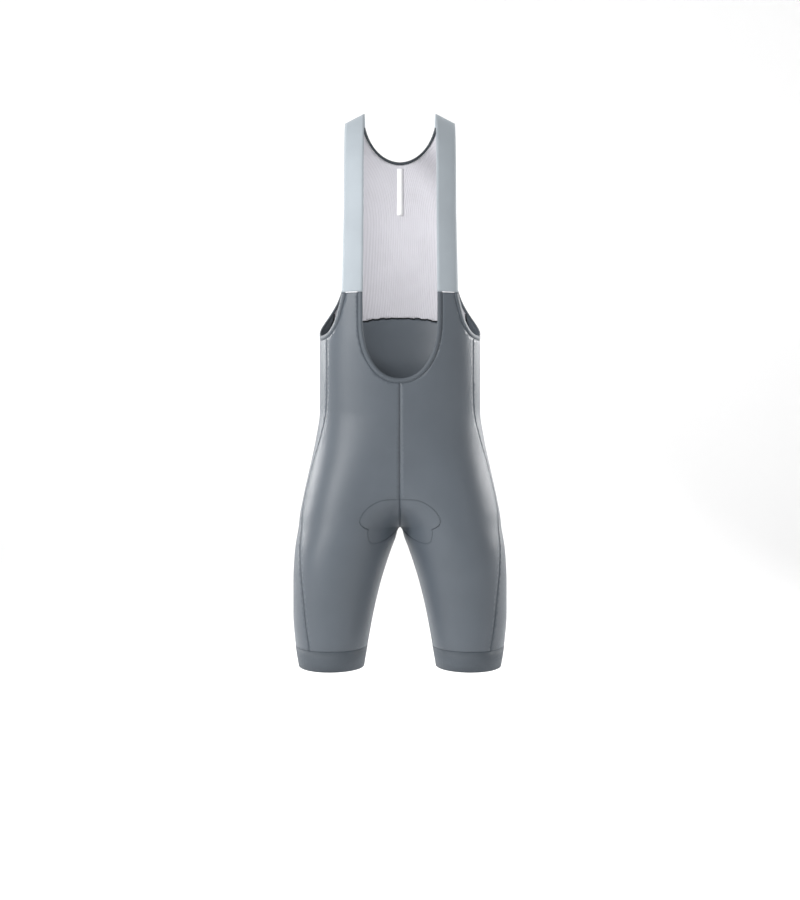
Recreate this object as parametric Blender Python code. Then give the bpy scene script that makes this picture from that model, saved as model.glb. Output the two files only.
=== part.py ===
"""Cycling bib shorts, filled out as if worn, hollow and open at the neck, armholes and legs.

Frame: metres, +Z up, the front faces -Y and the wearer's left side is +X. The origin is the
point midway between the shoulders where the straps rest on the wearer. Every cloth piece is
a thin wall on one smooth form. A point of the form is given by its girth share g, which runs
from 0 at the centre front (or the inseam of a leg) round the outside to 1 at the centre back
(or the inseam again), and by its height z.
"""
import bpy
import numpy as np
from mathutils import Vector
from mathutils.geometry import delaunay_2d_cdt

MM = 0.001

# Walls, gaps and narrow pieces
BODY_WALL = 1.5 * MM
MESH_WALL = 1.0 * MM
STRAP_WALL = 1.5 * MM
BINDING_WALL = 2.2 * MM
GRIPPER_WALL = 2.0 * MM
PAD_WALL = 7.0 * MM
PAD_EDGE = 2.0 * MM
LABEL_WALL = 1.0 * MM
SEAM_GAP = 0.3 * MM
BINDING_PROUD = 0.35 * MM
JOIN_DISTANCE = 0.005 * MM  # sheets join where their points are this near

# Heights
STRAP_TOP = 8 * MM          # outer face of the strap's inner edge, over the shoulder
SHOULDER_BASE = -170 * MM   # the chest tube ends and the shoulder arch begins
STRAP_SEAM = -303 * MM      # where each strap is sewn to its front panel
CROTCH = -694 * MM
FORM_FOOT = -945 * MM
HEM = -928 * MM             # leg hem, level with the middle of the leg's depth
HEM_TILT = 0.088            # the hem is this much lower for each metre to the front
GRIPPER_HEIGHT = 34 * MM

# Widths
STRAP_INNER = (61.6 * MM, 60.4 * MM)    # half-widths at the strap seam and at the top
STRAP_OUTER = (96.0 * MM, 93.0 * MM)
SHOULDER_SLOPE = 0.515
STRAP_END_TURN = np.radians(23)         # how far past the top each strap runs down the back
SCOOP_HALF_WIDTH = 61.6 * MM
SCOOP_BOTTOM = -445 * MM
SCOOP_SHOULDER = -349 * MM              # the scoop's curve ends here and its edge runs straight up
SCOOP_POWER = 2.15
NECK_HALF_WIDTH = 63.5 * MM
NECK_BOTTOM = -58.4 * MM
NECK_CENTRE = 17.2 * MM                 # height of the neckline ellipse's centre
BINDING = 8 * MM
BINDING_BACK = 4.5 * MM                 # the armhole binding narrows to this behind the arm
NECK_BINDING = 5 * MM
BRIDGE = 5 * MM                         # softness of the fold between the legs

# The body and leg form. Each row is a section in mm: height, widest half-width, half-width of
# the most forward line, half-width of the inner leg (negative above the crotch, where it only
# shapes the hollow between the thighs), front and back faces, and the roundness exponent.
SECTION_COLUMNS = ("z", "wide", "ridge", "inner", "front", "back", "power")
SECTIONS = (
    (-945, 168.5, 117, 64.0, -60, 58, 2.05),
    (-893, 177.0, 118, 55.2, -68, 65, 2.05),
    (-838, 181.0, 116, 45.3, -75, 71, 2.05),
    (-784, 181.0, 112, 32.7, -83, 79, 2.05),
    (-756, 180.0, 107, 24.3, -87, 86, 2.1),
    (-729, 178.0, 100, 15.3, -89, 93, 2.1),
    (-712, 175.5, 94, 9.3, -90, 98, 2.1),
    (-694, 172.5, 87, 5.0, -91, 104, 2.1),
    (-674, 170.5, 79, -15.0, -91.5, 113, 2.15),
    (-644, 165.0, 70, -97.0, -92, 121, 2.2),
    (-594, 154.0, 50, -375.0, -93, 123, 2.25),
    (-539, 142.0, 18, -700.0, -96, 107, 2.3),
    (-498, 136.0, 0, -800.0, -98, 94, 2.35),
    (-420, 135.7, 0, -800.0, -103, 92, 2.4),
    (-365, 135.7, 0, -800.0, -107, 100, 2.4),
    (-300, 135.7, 0, -800.0, -109, 107, 2.4),
    (-170, 135.7, 0, -800.0, -108, 112, 2.4),
)

# How far inside the widest line of the form the side seam runs, on its front face, in mm
SIDE_SEAM_COLUMNS = ("z", "inset")
SIDE_SEAM = (
    (-940, 26.5),
    (-890, 25.2),
    (-830, 21.2),
    (-760, 14.2),
    (-700, 7.8),
    (-640, 4.2),
    (-585, 5.6),
    (-530, 10.3),
    (-460, 14.0),
    (-360, 14.0),
)

# How far in front of the leg's innermost line the inseam runs, as a share of the leg's girth
INSEAM_COLUMNS = ("z", "share")
INSEAM = (
    (-940, 0.040),
    (-890, 0.032),
    (-830, 0.018),
    (-770, 0.005),
    (-720, 0.0),
    (-694, 0.0),
    (-360, 0.0),
)

# The armhole's edge from the strap seam down the front, under the arm and up the back, in mm
ARMHOLE_COLUMNS = ("face", "x", "z")
ARMHOLE = (
    ("front", 96.0, -303.0),
    ("front", 101.5, -325.0),
    ("front", 109.5, -351.0),
    ("front", 119.0, -366.0),
    ("front", 130.0, -371.0),
    ("side", 135.7, -364.0),
    ("back", 131.8, -349.6),
    ("back", 121.5, -331.0),
    ("back", 110.0, -309.0),
    ("back", 98.0, -270.0),
    ("back", 92.5, -205.0),
    ("back", 92.5, -110.0),
    ("back", 93.0, -21.8),
)

# The seam between the mesh and the back, from the armhole binding to the centre, in mm
MESH_SEAM_COLUMNS = ("x", "z")
MESH_SEAM = (
    (116.0, -338.0),
    (119.5, -350.0),
    (113.0, -354.5),
    (92.0, -348.0),
    (65.0, -338.5),
    (32.0, -333.0),
    (0.0, -332.0),
)
MESH_TIP = -328 * MM        # height at which that seam leaves the armhole binding

# The pad's outline on the front and on the back: half-width and height in mm, from its end
# at the centre line round to the inseam
PAD_COLUMNS = ("x", "z")
PAD_FRONT = ((0, -645), (34, -648), (57, -663), (64, -688), (52, -712), (18, -733))
PAD_BACK = ((0, -575), (36, -580), (62, -602), (70, -650), (56, -702), (18, -733))

PAD_CELLS = 8

LABEL_HALF_WIDTH = 5 * MM
LABEL_CELLS = 5
LABEL_TOP = -69 * MM
LABEL_BOTTOM = -150 * MM

# Cells along the seams, and the size of the triangles inside the panels
SCOOP_CELLS, STRAP_SEAM_CELLS, FRONT_ARM_CELLS = 9, 2, 7
UNDERARM_CELLS, MESH_SIDE_CELLS, MESH_HEM_CELLS = 8, 2, 7
NECK_CELLS, STRAP_END_CELLS, MESH_ARM_CELLS = 8, 2, 15
CENTRE_CELLS, INSEAM_CELLS, SIDE_CELLS = 17, 13, 26
HEM_FRONT_CELLS, HEM_BACK_CELLS = 10, 14
CROTCH_CROWDING = 1.5
PANEL_LATTICE = 21 * MM
CROTCH_LATTICE = 9 * MM
CROTCH_REACH = 42 * MM      # the lattice is finer this near to the crotch
FLAT_GIRTH = 370 * MM       # length of the whole girth share when a panel is laid flat
STRAP_ACROSS, STRAP_FRONT_CELLS, STRAP_ARCH_CELLS = 2, 5, 16

COLOURS = {
    "body_fabric": ((0.155, 0.185, 0.215), 0.45),
    "mesh_fabric": ((0.66, 0.65, 0.69), 0.8),
    "strap_elastic": ((0.52, 0.56, 0.60), 0.55),
    "binding_fabric": ((0.15, 0.18, 0.21), 0.5),
    "neck_tape": ((0.07, 0.085, 0.10), 0.6),
    "gripper_elastic": ((0.12, 0.145, 0.17), 0.6),
    "pad_foam": ((0.05, 0.055, 0.06), 0.8),
    "label_tape": ((0.85, 0.85, 0.86), 0.6),
}


def column(table, names, name):
    """One column of a table, in metres where it holds millimetres."""
    values = np.array([row[names.index(name)] for row in table], float)
    return values if name in ("power", "share") else values * MM


def smooth_curve(knots, values, at):
    """Cubic through the values, with no overshoot between them."""
    step, rise = np.diff(knots), np.diff(values) / np.diff(knots)
    slope = np.concatenate(([rise[0]], np.zeros(len(rise) - 1), [rise[-1]]))
    for k in range(1, len(rise)):
        if rise[k - 1] * rise[k] > 0:
            near, far = 2 * step[k] + step[k - 1], step[k] + 2 * step[k - 1]
            slope[k] = (near + far) / (near / rise[k - 1] + far / rise[k])
    k = np.clip(np.searchsorted(knots, at) - 1, 0, len(step) - 1)
    t = (at - knots[k]) / step[k]
    start = values[k] * (1 + 2 * t) * (1 - t) ** 2 + values[k + 1] * t * t * (3 - 2 * t)
    return start + step[k] * (slope[k] * t * (1 - t) ** 2 + slope[k + 1] * t * t * (t - 1))


def table_curve(table, names, name, z):
    """A column of a table, read smoothly at the heights z."""
    return smooth_curve(column(table, names, "z"), column(table, names, name), z)


def along(points):
    """Distance along a line of points, from its start."""
    return np.concatenate(([0], np.cumsum(np.linalg.norm(np.diff(points, axis=0), axis=1))))


# ---------------------------------------------------------------- the form

FORM_STEP = 1 * MM
FORM_Z = np.arange(round((SHOULDER_BASE - FORM_FOOT) / FORM_STEP) + 1) * FORM_STEP + FORM_FOOT
FORM_COLUMNS = 161
SECTION_SAMPLES = 90


def half_section(wide, ridge, inner, front, back, power):
    """Outline of the right half of a section, from its inner front end to its inner back end."""
    middle = (front + back) / 2
    x, depth = np.zeros(0), np.zeros(0)
    if ridge > BRIDGE:
        reach = ridge - inner
        swing = np.linspace(np.arcsin(min(1.0, (ridge - BRIDGE) / reach)), 0, SECTION_SAMPLES)[:-1]
        x, depth = ridge - reach * np.sin(swing), np.cos(swing)
    turn = np.linspace(0, np.pi / 2, 3 * SECTION_SAMPLES)
    x = np.concatenate((x, ridge + (wide - ridge) * np.sin(turn) ** (2 / power)))
    depth = np.concatenate((depth, np.cos(turn) ** (2 / power)))
    x = np.sqrt(np.maximum(x, BRIDGE) ** 2 - BRIDGE ** 2)
    x *= wide / x[-1]
    front_half = np.stack((x, middle + (front - middle) * depth), 1)
    back_half = np.stack((x, middle + (back - middle) * depth), 1)[-2::-1]
    return np.concatenate((front_half, back_half))


def build_form():
    """The form's x and y on a grid of heights and girth shares, and each row's widest share."""
    names = SECTION_COLUMNS[1:]
    profiles = [table_curve(SECTIONS, SECTION_COLUMNS, name, FORM_Z) for name in names]
    grid = np.zeros((len(FORM_Z), FORM_COLUMNS, 2))
    for row, sizes in enumerate(zip(*profiles)):
        outline = half_section(*sizes)
        travelled = along(outline)
        even = np.linspace(0, travelled[-1], FORM_COLUMNS)
        for axis in (0, 1):
            grid[row, :, axis] = np.interp(even, travelled, outline[:, axis])
    return grid


FORM = build_form()


def strap_height(x):
    """Height of the shoulder line over the half-width x."""
    return STRAP_TOP - SHOULDER_SLOPE * (np.abs(x) - STRAP_INNER[1])


def on_form(g, z):
    """Points of the form at girth shares g and heights z.

    Past 0 or 1 a share goes on round a leg below the crotch, and over to the other side of
    the body above it."""
    g, z = np.broadcast_arrays(np.asarray(g, float), np.asarray(z, float))
    low = np.clip(z, FORM_FOOT, SHOULDER_BASE)
    leg = low < CROTCH - 1e-9
    side = np.where(~leg & ((g < 0) | (g > 1)), -1.0, 1.0)
    share = np.where(leg, np.where(g == 1, 1.0, g % 1.0), np.where(g < 0, -g, np.where(g > 1, 2 - g, g)))
    row = (low - FORM_FOOT) / FORM_STEP
    r = np.clip(row.astype(int), 0, len(FORM_Z) - 2)
    col = share * (FORM_COLUMNS - 1)
    c = np.clip(col.astype(int), 0, FORM_COLUMNS - 2)
    fr, fc = (row - r)[..., None], (col - c)[..., None]
    xy = ((FORM[r, c] * (1 - fc) + FORM[r, c + 1] * fc) * (1 - fr)
          + (FORM[r + 1, c] * (1 - fc) + FORM[r + 1, c + 1] * fc) * fr)
    x, y = xy[..., 0], xy[..., 1]
    middle = (FORM[-1, 0, 1] + FORM[-1, -1, 1]) / 2
    rise = np.clip((z - SHOULDER_BASE) / (strap_height(x) - SHOULDER_BASE), 0, 1)
    y = np.where(z > SHOULDER_BASE, middle + (y - middle) * np.sqrt(1 - rise ** 2), y)
    return np.stack((x * side, y, z), -1)


def unit(vectors):
    return vectors / np.linalg.norm(vectors, axis=-1, keepdims=True)


def outward(g, z):
    """Unit normals of the form, pointing out of the garment."""
    dg, dz = 0.004, 1 * MM
    across = on_form(g + dg, z) - on_form(g - dg, z)
    up = on_form(g, z + dz) - on_form(g, z - dz)
    normal = unit(np.cross(across, up))
    centred = np.abs(on_form(g, z)[..., 0]) < 1e-7
    normal[..., 0] = np.where(centred, 0, normal[..., 0])
    return unit(normal)


def share_at(face, x, z):
    """Girth share where the form's front, side or back has the half-width x at height z."""
    row = FORM[int(round((min(z, SHOULDER_BASE) - FORM_FOOT) / FORM_STEP)), :, 0]
    widest = int(np.argmax(row))
    shares = np.linspace(0, 1, FORM_COLUMNS)
    if face == "side":
        return shares[widest]
    if face == "front":
        return np.interp(x, row[:widest + 1], shares[:widest + 1])
    return np.interp(x, row[widest:][::-1], shares[widest:][::-1])


# ---------------------------------------------------------------- seams and edges, as (g, z)

def resampled(curve, cells, crowd_start=1.0, crowd_end=1.0):
    """The curve with equal steps along the cloth, or steps that shorten towards an end."""
    travelled = along(on_form(curve[:, 0], curve[:, 1]))
    even = 1 - (1 - np.linspace(0, 1, cells + 1) ** crowd_start) ** crowd_end
    even *= travelled[-1]
    return np.stack([np.interp(even, travelled, curve[:, axis]) for axis in (0, 1)], 1)


def flowing(points, samples=160):
    """A smooth curve through points of the form."""
    points = np.array(points, float)
    travelled = along(on_form(points[:, 0], points[:, 1]))
    at = np.linspace(0, travelled[-1], samples)
    slopes = [np.gradient(points[:, axis], travelled) for axis in (0, 1)]
    k = np.clip(np.searchsorted(travelled, at) - 1, 0, len(travelled) - 2)
    step = travelled[k + 1] - travelled[k]
    t = (at - travelled[k]) / step
    curve = []
    for axis in (0, 1):
        v, m = points[:, axis], slopes[axis]
        curve.append(v[k] * (1 + 2 * t) * (1 - t) ** 2 + v[k + 1] * t * t * (3 - 2 * t)
                     + step * (m[k] * t * (1 - t) ** 2 + m[k + 1] * t * t * (t - 1)))
    return np.stack(curve, 1)


def stepped_aside(curve, widths, passes=4):
    """The curve moved over the form to its right-hand side by the given widths."""
    g, z = curve[:, 0].copy(), curve[:, 1].copy()
    dg, dz = 0.002, 0.5 * MM
    for _ in range(passes):
        points = on_form(g, z)
        aside = np.cross(unit(np.gradient(points, axis=0)), outward(g, z))
        want = aside * (widths / passes)[:, None]
        along_g = (on_form(g + dg, z) - on_form(g - dg, z)) / (2 * dg)
        along_z = (on_form(g, z + dz) - on_form(g, z - dz)) / (2 * dz)
        a, b, c = (np.sum(p * q, -1) for p, q in
                   ((along_g, along_g), (along_g, along_z), (along_z, along_z)))
        p, q = np.sum(along_g * want, -1), np.sum(along_z * want, -1)
        g += (c * p - b * q) / (a * c - b * b)
        z += (a * q - b * p) / (a * c - b * b)
    return np.stack((g, z), 1)


def strap_end_height(x):
    """Height of the seam at the strap's back end over the half-width x."""
    return SHOULDER_BASE + (strap_height(x) - SHOULDER_BASE) * np.cos(STRAP_END_TURN)


def scoop_curve(widen):
    """The front scoop from its bottom up to the strap seam, moved out by widen."""
    turn = np.linspace(0, np.pi / 2, 120)
    x = (SCOOP_HALF_WIDTH + widen) * np.sin(turn) ** (2 / SCOOP_POWER)
    z = SCOOP_SHOULDER - (SCOOP_SHOULDER - SCOOP_BOTTOM + widen) * np.cos(turn) ** (2 / SCOOP_POWER)
    x, z = np.append(x, x[-1]), np.append(z, STRAP_SEAM)
    return np.array([(share_at("front", u, v), v) for u, v in zip(x, z)])


def neck_curve(widen):
    """The back neckline from the strap's end to the centre back, moved down by widen."""
    turn = np.linspace(np.pi / 2, 0, 240)
    x = (NECK_HALF_WIDTH + widen) * np.sin(turn)
    z = NECK_CENTRE - (NECK_CENTRE - NECK_BOTTOM + widen) * np.cos(turn)
    inside = z < strap_end_height(x)
    x, z = x[inside], z[inside]
    z[0] = strap_end_height(x[0])
    return np.array([(share_at("back", u, v), v) for u, v in zip(x, z)])


def armhole_curve():
    edge = flowing([(share_at(face, x * MM, z * MM), z * MM) for face, x, z in ARMHOLE])
    edge[-1, 1] = strap_end_height(on_form(edge[-1, 0], edge[-1, 1])[0])
    return edge


def armhole_seam(edge):
    """The seam of the armhole binding, beside its edge."""
    share = np.clip((edge[:, 0] - edge[0, 0]) / 0.35, 0, 1)
    seam = stepped_aside(edge, BINDING + (BINDING_BACK - BINDING) * share ** 2)
    seam[0, 1] = STRAP_SEAM
    seam[-1, 1] = strap_end_height(on_form(seam[-1, 0], seam[-1, 1])[0])
    return seam


def side_seam_point(z):
    """Girth share of the side seam at height z."""
    wide = table_curve(SECTIONS, SECTION_COLUMNS, "wide", np.array([z]))[0]
    inset = table_curve(SIDE_SEAM, SIDE_SEAM_COLUMNS, "inset", np.array([z]))[0]
    return share_at("front", wide - inset, z)


def inseam_share(z):
    return table_curve(INSEAM, INSEAM_COLUMNS, "share", np.atleast_1d(z))


def straight(start, end, cells):
    return np.linspace(start, end, cells + 1)


def split_near(curve, column_index, value, start=0):
    """Index of the curve's point, from start on, that is nearest to the value."""
    return start + int(np.argmin(np.abs(curve[start:, column_index] - value)))


def leg_seams(seams):
    """The gripper seams, side seam and inseam."""
    level = HEM + GRIPPER_HEIGHT
    side_share, front_share = side_seam_point(level), inseam_share(level)[0]
    middle = on_form(np.linspace(0, 1, 41)[:-1], level)[:, 1].mean()
    spans = {"gripper_front": (front_share, side_share, HEM_FRONT_CELLS),
             "gripper_back": (side_share, 1 + front_share, HEM_BACK_CELLS)}
    for name, (start, end, cells) in spans.items():
        share = np.linspace(start, end, cells + 1)
        y = on_form(share, np.full_like(share, level))[:, 1]
        seams[name] = np.stack((share, level + HEM_TILT * (y - middle)), 1)
    turn = np.linspace(0, 1, 200)
    top, foot = seams["armhole"][0][-1], seams["gripper_front"][-1]
    heights = top[1] + (foot[1] - top[1]) * turn
    side = np.array([(side_seam_point(z), z) for z in heights])
    side[0], side[-1] = top, foot
    seams["side"] = resampled(side, SIDE_CELLS)
    foot = seams["gripper_front"][0]
    heights = CROTCH + (foot[1] - CROTCH) * turn
    inseam = np.stack((inseam_share(heights), heights), 1)
    inseam[-1] = foot
    seams["inseam"] = resampled(inseam, INSEAM_CELLS, crowd_start=CROTCH_CROWDING)


def upper_seams(seams):
    """The seams of the bindings, the mesh and the strap ends, and the centre lines."""
    seams["scoop_edge"] = resampled(scoop_curve(0), SCOOP_CELLS)
    seams["scoop"] = resampled(scoop_curve(BINDING), SCOOP_CELLS)
    edge = armhole_curve()
    seam = armhole_seam(edge)
    side = next(k for k in range(len(seam)) if seam[k, 0] >= side_seam_point(seam[k, 1])
                and seam[k, 1] < MESH_TIP)
    tip = split_near(seam, 1, MESH_TIP, side + 8)
    parts = ((0, side, FRONT_ARM_CELLS), (side, tip, UNDERARM_CELLS),
             (tip, len(seam) - 1, MESH_ARM_CELLS))
    for name, line in (("armhole_edge", edge), ("armhole", seam)):
        seams[name] = [resampled(line[a:b + 1], cells) for a, b, cells in parts]
    seams["strap_front"] = straight(seams["scoop"][-1], seam[0], STRAP_SEAM_CELLS)
    mesh_hem = [tuple(seam[tip])] + [(share_at("back", x * MM, z * MM), z * MM) for x, z in MESH_SEAM]
    mesh_hem = flowing(mesh_hem)
    corner = split_near(mesh_hem, 1, min(mesh_hem[:, 1]))
    seams["mesh_hem"] = np.concatenate((resampled(mesh_hem[:corner + 1], MESH_SIDE_CELLS),
                                        resampled(mesh_hem[corner:], MESH_HEM_CELLS)[1:]))
    seams["neck_edge"] = resampled(neck_curve(0), NECK_CELLS)
    seams["neck"] = resampled(neck_curve(NECK_BINDING), NECK_CELLS)
    outer, inner = seam[-1], seams["neck"][0]
    ends = [on_form(*point)[0] for point in (outer, inner)]
    x = np.linspace(*ends, STRAP_END_CELLS + 1)
    seams["strap_back"] = np.array([(share_at("back", u, strap_end_height(u)), strap_end_height(u))
                                    for u in x])
    seams["strap_back"][0], seams["strap_back"][-1] = outer, inner
    seams["mesh_centre"] = straight(seams["neck"][-1], seams["mesh_hem"][-1], MESH_ARM_CELLS)


def centre_line(share, top):
    """The centre line from the height top down to the crotch."""
    heights = np.linspace(top, CROTCH, 200)
    line = np.stack((np.full_like(heights, share), heights), 1)
    return resampled(line, CENTRE_CELLS, crowd_end=CROTCH_CROWDING)


def all_seams():
    """Every shared seam of the right half, as lines of form points."""
    seams = {}
    upper_seams(seams)
    leg_seams(seams)
    seams["centre_front"] = centre_line(0.0, seams["scoop"][0, 1])
    seams["centre_back"] = centre_line(1.0, seams["mesh_hem"][-1, 1])
    return seams


# ---------------------------------------------------------------- surfaces and solids

INSIDE_ONLY = 1     # the triangulation keeps only the triangles inside the outline


class Sheet:
    """A stretch of cloth on the form: points, outward normals and faces turned outward."""

    def __init__(self, points, normals, faces):
        self.points, self.normals, self.faces = points, normals, faces

    def mirrored(self):
        flip = np.array((-1, 1, 1))
        return Sheet(self.points * flip, self.normals * flip, [face[::-1] for face in self.faces])


def surface(chart):
    """Points and outward normals at form points."""
    return on_form(chart[..., 0], chart[..., 1]), outward(chart[..., 0], chart[..., 1])


def grid_sheet(points, normals):
    """A sheet from a grid whose rows run down and whose columns run with the girth."""
    rows, columns = points.shape[:2]
    ids = np.arange(rows * columns).reshape(rows, columns)
    faces = [[int(v) for v in (ids[i, j], ids[i + 1, j], ids[i + 1, j + 1], ids[i, j + 1])]
             for i, j in np.ndindex(rows - 1, columns - 1)]
    return Sheet(points.reshape(-1, 3), normals.reshape(-1, 3), faces)


def inside_outline(points, outline):
    """Which flat points lie inside a closed outline."""
    x, y = points[:, 0], points[:, 1]
    inside = np.zeros(len(points), bool)
    for (x1, y1), (x2, y2) in zip(outline, np.roll(outline, -1, axis=0)):
        if y1 == y2:
            continue
        crosses = ((y1 > y) != (y2 > y)) & (x < (x2 - x1) * (y - y1) / (y2 - y1) + x1)
        inside ^= crosses
    return inside


def distance_to(points, line):
    """Distance from each flat point to a line of points."""
    best = np.full(len(points), np.inf)
    for a, b in zip(line[:-1], line[1:]):
        span = b - a
        t = np.clip((points - a) @ span / max(span @ span, 1e-18), 0, 1)
        best = np.minimum(best, np.linalg.norm(points - a - t[:, None] * span, axis=1))
    return best


def lattice(low, high, step):
    """Points of a triangular lattice over a flat box."""
    rows = np.arange(low[1], high[1], step * 0.87)
    points = [(x + step / 2 * (k % 2), y) for k, y in enumerate(rows)
              for x in np.arange(low[0], high[0], step)]
    return np.array(points)


def cut_panel(outline, crotch_share, marks=()):
    """Form points and triangles inside an outline of form points that runs anticlockwise as
    seen from outside. marks are lines inside the panel that its triangles follow."""
    flat = outline * (FLAT_GIRTH, 1)
    closed = np.concatenate((flat, flat[:1]))
    lines = [mark * (FLAT_GIRTH, 1) for mark in marks]
    crotch = np.array((crotch_share * FLAT_GIRTH, CROTCH))
    inner = []
    for step, near in ((PANEL_LATTICE, False), (CROTCH_LATTICE, True)):
        points = lattice(flat.min(0), flat.max(0), step)
        reach = np.linalg.norm(points - crotch, axis=1) < CROTCH_REACH
        clear = distance_to(points, closed) > 0.5 * step
        for line in lines:
            clear &= distance_to(points, line) > 0.5 * step
        inner.append(points[(reach == near) & clear & inside_outline(points, flat)])
    corners = list(flat)
    edges = [(k, (k + 1) % len(flat)) for k in range(len(flat))]
    for line in lines:
        first = len(corners)
        ids = ([int(np.argmin(np.linalg.norm(flat - line[0], axis=1)))]
               + list(range(first, first + len(line) - 2))
               + [int(np.argmin(np.linalg.norm(flat - line[-1], axis=1)))])
        corners.extend(line[1:-1])
        edges.extend(zip(ids[:-1], ids[1:]))
    corners = np.concatenate([np.array(corners)] + inner)
    found = delaunay_2d_cdt([Vector(c) for c in corners], edges, [], INSIDE_ONLY, 1e-7)
    chart = np.array([tuple(v) for v in found[0]]) / (FLAT_GIRTH, 1)
    chart[:len(outline)] = outline
    return chart, [list(face) for face in found[2]]


def seam_allowance(points, normals, count, keep=()):
    """The points with their outline, the first count of them, drawn in by half of the gap
    between sewn pieces, but for the outline points in keep."""
    points = points.copy()
    loop, n = points[:count].copy(), normals[:count]
    ahead = unit(np.roll(loop, -1, axis=0) - loop)
    behind = np.roll(ahead, 1, axis=0)
    left, right = unit(np.cross(n, ahead)), unit(np.cross(n, behind))
    bisector = unit(left + right)
    miter = np.maximum(np.sum(bisector * left, -1, keepdims=True), 0.45)
    move = bisector * SEAM_GAP / 2 / miter
    move[list(keep)] = 0
    points[:count] += move
    return points


def wall(sheets, thickness, lift=0.0, thin_edge=None):
    """Vertices and faces of a closed wall: the sheets' points moved out by lift, and the same
    points moved in by the thickness. Sheets join where their points meet. thin_edge gives
    the thickness at the wall's free edges."""
    index, points, normals, faces = {}, [], [], []
    for sheet in sheets:
        ids = {}
        for v in sorted({v for face in sheet.faces for v in face}):
            key = tuple(np.round(sheet.points[v] / JOIN_DISTANCE).astype(int))
            if key not in index:
                index[key] = len(points)
                points.append(sheet.points[v])
                normals.append(np.zeros(3))
            ids[v] = index[key]
            normals[index[key]] = normals[index[key]] + sheet.normals[v]
        faces += [[ids[v] for v in face] for face in sheet.faces]
    points, normals = np.array(points), unit(np.array(normals))
    edges = {(a, b) for face in faces for a, b in zip(face, face[1:] + face[:1])}
    rim = sorted((a, b) for a, b in edges if (b, a) not in edges)
    depth = np.full(len(points), thickness)
    if thin_edge is not None:
        depth[sorted({v for edge in rim for v in edge})] = thin_edge
    outer = points + normals * lift
    inner = points + normals * (lift - depth[:, None])
    count = len(points)
    solid = faces + [[v + count for v in reversed(face)] for face in faces]
    solid += [[b, a, a + count, b + count] for a, b in rim]
    return np.concatenate((outer, inner)), solid


def material(name):
    colour, roughness = COLOURS[name]
    found = bpy.data.materials.get(name)
    if found is None:
        found = bpy.data.materials.new(name)
        found.use_nodes = True
        shader = found.node_tree.nodes["Principled BSDF"]
        shader.inputs["Base Color"].default_value = (*colour, 1)
        shader.inputs["Roughness"].default_value = roughness
    return found


def add_piece(name, solid, fabric, garment):
    """One sewn piece as an object of its own."""
    vertices, faces = solid
    mesh = bpy.data.meshes.new(name)
    mesh.from_pydata(vertices.tolist(), [], faces)
    mesh.materials.append(material(fabric))
    mesh.shade_smooth()
    mesh.set_sharp_from_angle(angle=np.radians(50))
    piece = bpy.data.objects.new(name, mesh)
    piece.parent = garment
    bpy.context.scene.collection.objects.link(piece)
    return piece


# ---------------------------------------------------------------- the pieces

def joined(*lines):
    """Lines of form points end to end, each without the point that it shares with the last."""
    return np.concatenate([line[k > 0:] for k, line in enumerate(lines)])


def outline_of(*lines):
    """A closed outline from lines end to end, without repeating its first point."""
    return joined(*lines)[:-1]


def pad_mark(face, outline, centre):
    """The pad's edge on one face, from the centre line to the inseam, ending on seam points."""
    start = 0.0 if face == "front" else 1.0
    rim = [(share_at(face, x * MM, z * MM) if x else start, z * MM) for x, z in outline]
    rim[-1] = (start, rim[-1][1])
    for k in (0, -1):
        rim[k] = tuple(centre[np.argmin(np.abs(centre[:, 1] - rim[k][1]))])
    return resampled(flowing(rim), PAD_CELLS)


def front_sheets(seams):
    """The front panel of the right half, and the part of it that the pad lies on."""
    down = joined(seams["centre_front"], seams["inseam"])
    outline = outline_of(down, seams["gripper_front"], seams["side"][::-1],
                         seams["armhole"][0][::-1], seams["strap_front"][::-1],
                         seams["scoop"][::-1])
    mark = pad_mark("front", PAD_FRONT, down)
    chart, faces = cut_panel(outline, 0.0, [mark])
    points, normals = surface(chart)
    pad_faces = faces_inside(chart, faces, mark, down)
    sewn = seam_allowance(points, normals, len(outline))
    sewn[CENTRE_CELLS, 1] -= SEAM_GAP
    return Sheet(sewn, normals, faces), Sheet(points, normals, pad_faces)


def back_sheets(seams):
    """The right half of the back, and the part of it that the pad lies on."""
    inseam = seams["inseam"] + (1, 0)
    up = joined(inseam[::-1], seams["centre_back"][::-1])
    outline = outline_of(up, seams["mesh_hem"][::-1], seams["armhole"][1][::-1], seams["side"],
                         seams["gripper_back"])
    mark = pad_mark("back", PAD_BACK, joined(seams["centre_back"], inseam))
    chart, faces = cut_panel(outline, 1.0, [mark])
    points, normals = surface(chart)
    pad_faces = faces_inside(chart, faces, mark, up[::-1])
    crotch = len(inseam) - 1
    top = len(up) - 1
    sewn = seam_allowance(points, normals, len(outline), range(crotch, top))
    sewn[crotch:top + 1, 0] = 0
    sewn[crotch, 1] += SEAM_GAP
    return Sheet(sewn, normals, faces), Sheet(points, normals, pad_faces)


def faces_inside(chart, faces, mark, centre):
    """The faces between a mark and the stretch of the centre line between its ends."""
    ends = sorted((mark[0, 1], mark[-1, 1]))
    stretch = centre[(centre[:, 1] > ends[0]) & (centre[:, 1] < ends[1])]
    if mark[0, 1] > mark[-1, 1]:
        stretch = stretch[np.argsort(stretch[:, 1])]
    middles = np.array([chart[face].mean(0) for face in faces])
    inside = inside_outline(middles, np.concatenate((mark, stretch)))
    return [face for face, kept in zip(faces, inside) if kept]


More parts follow.
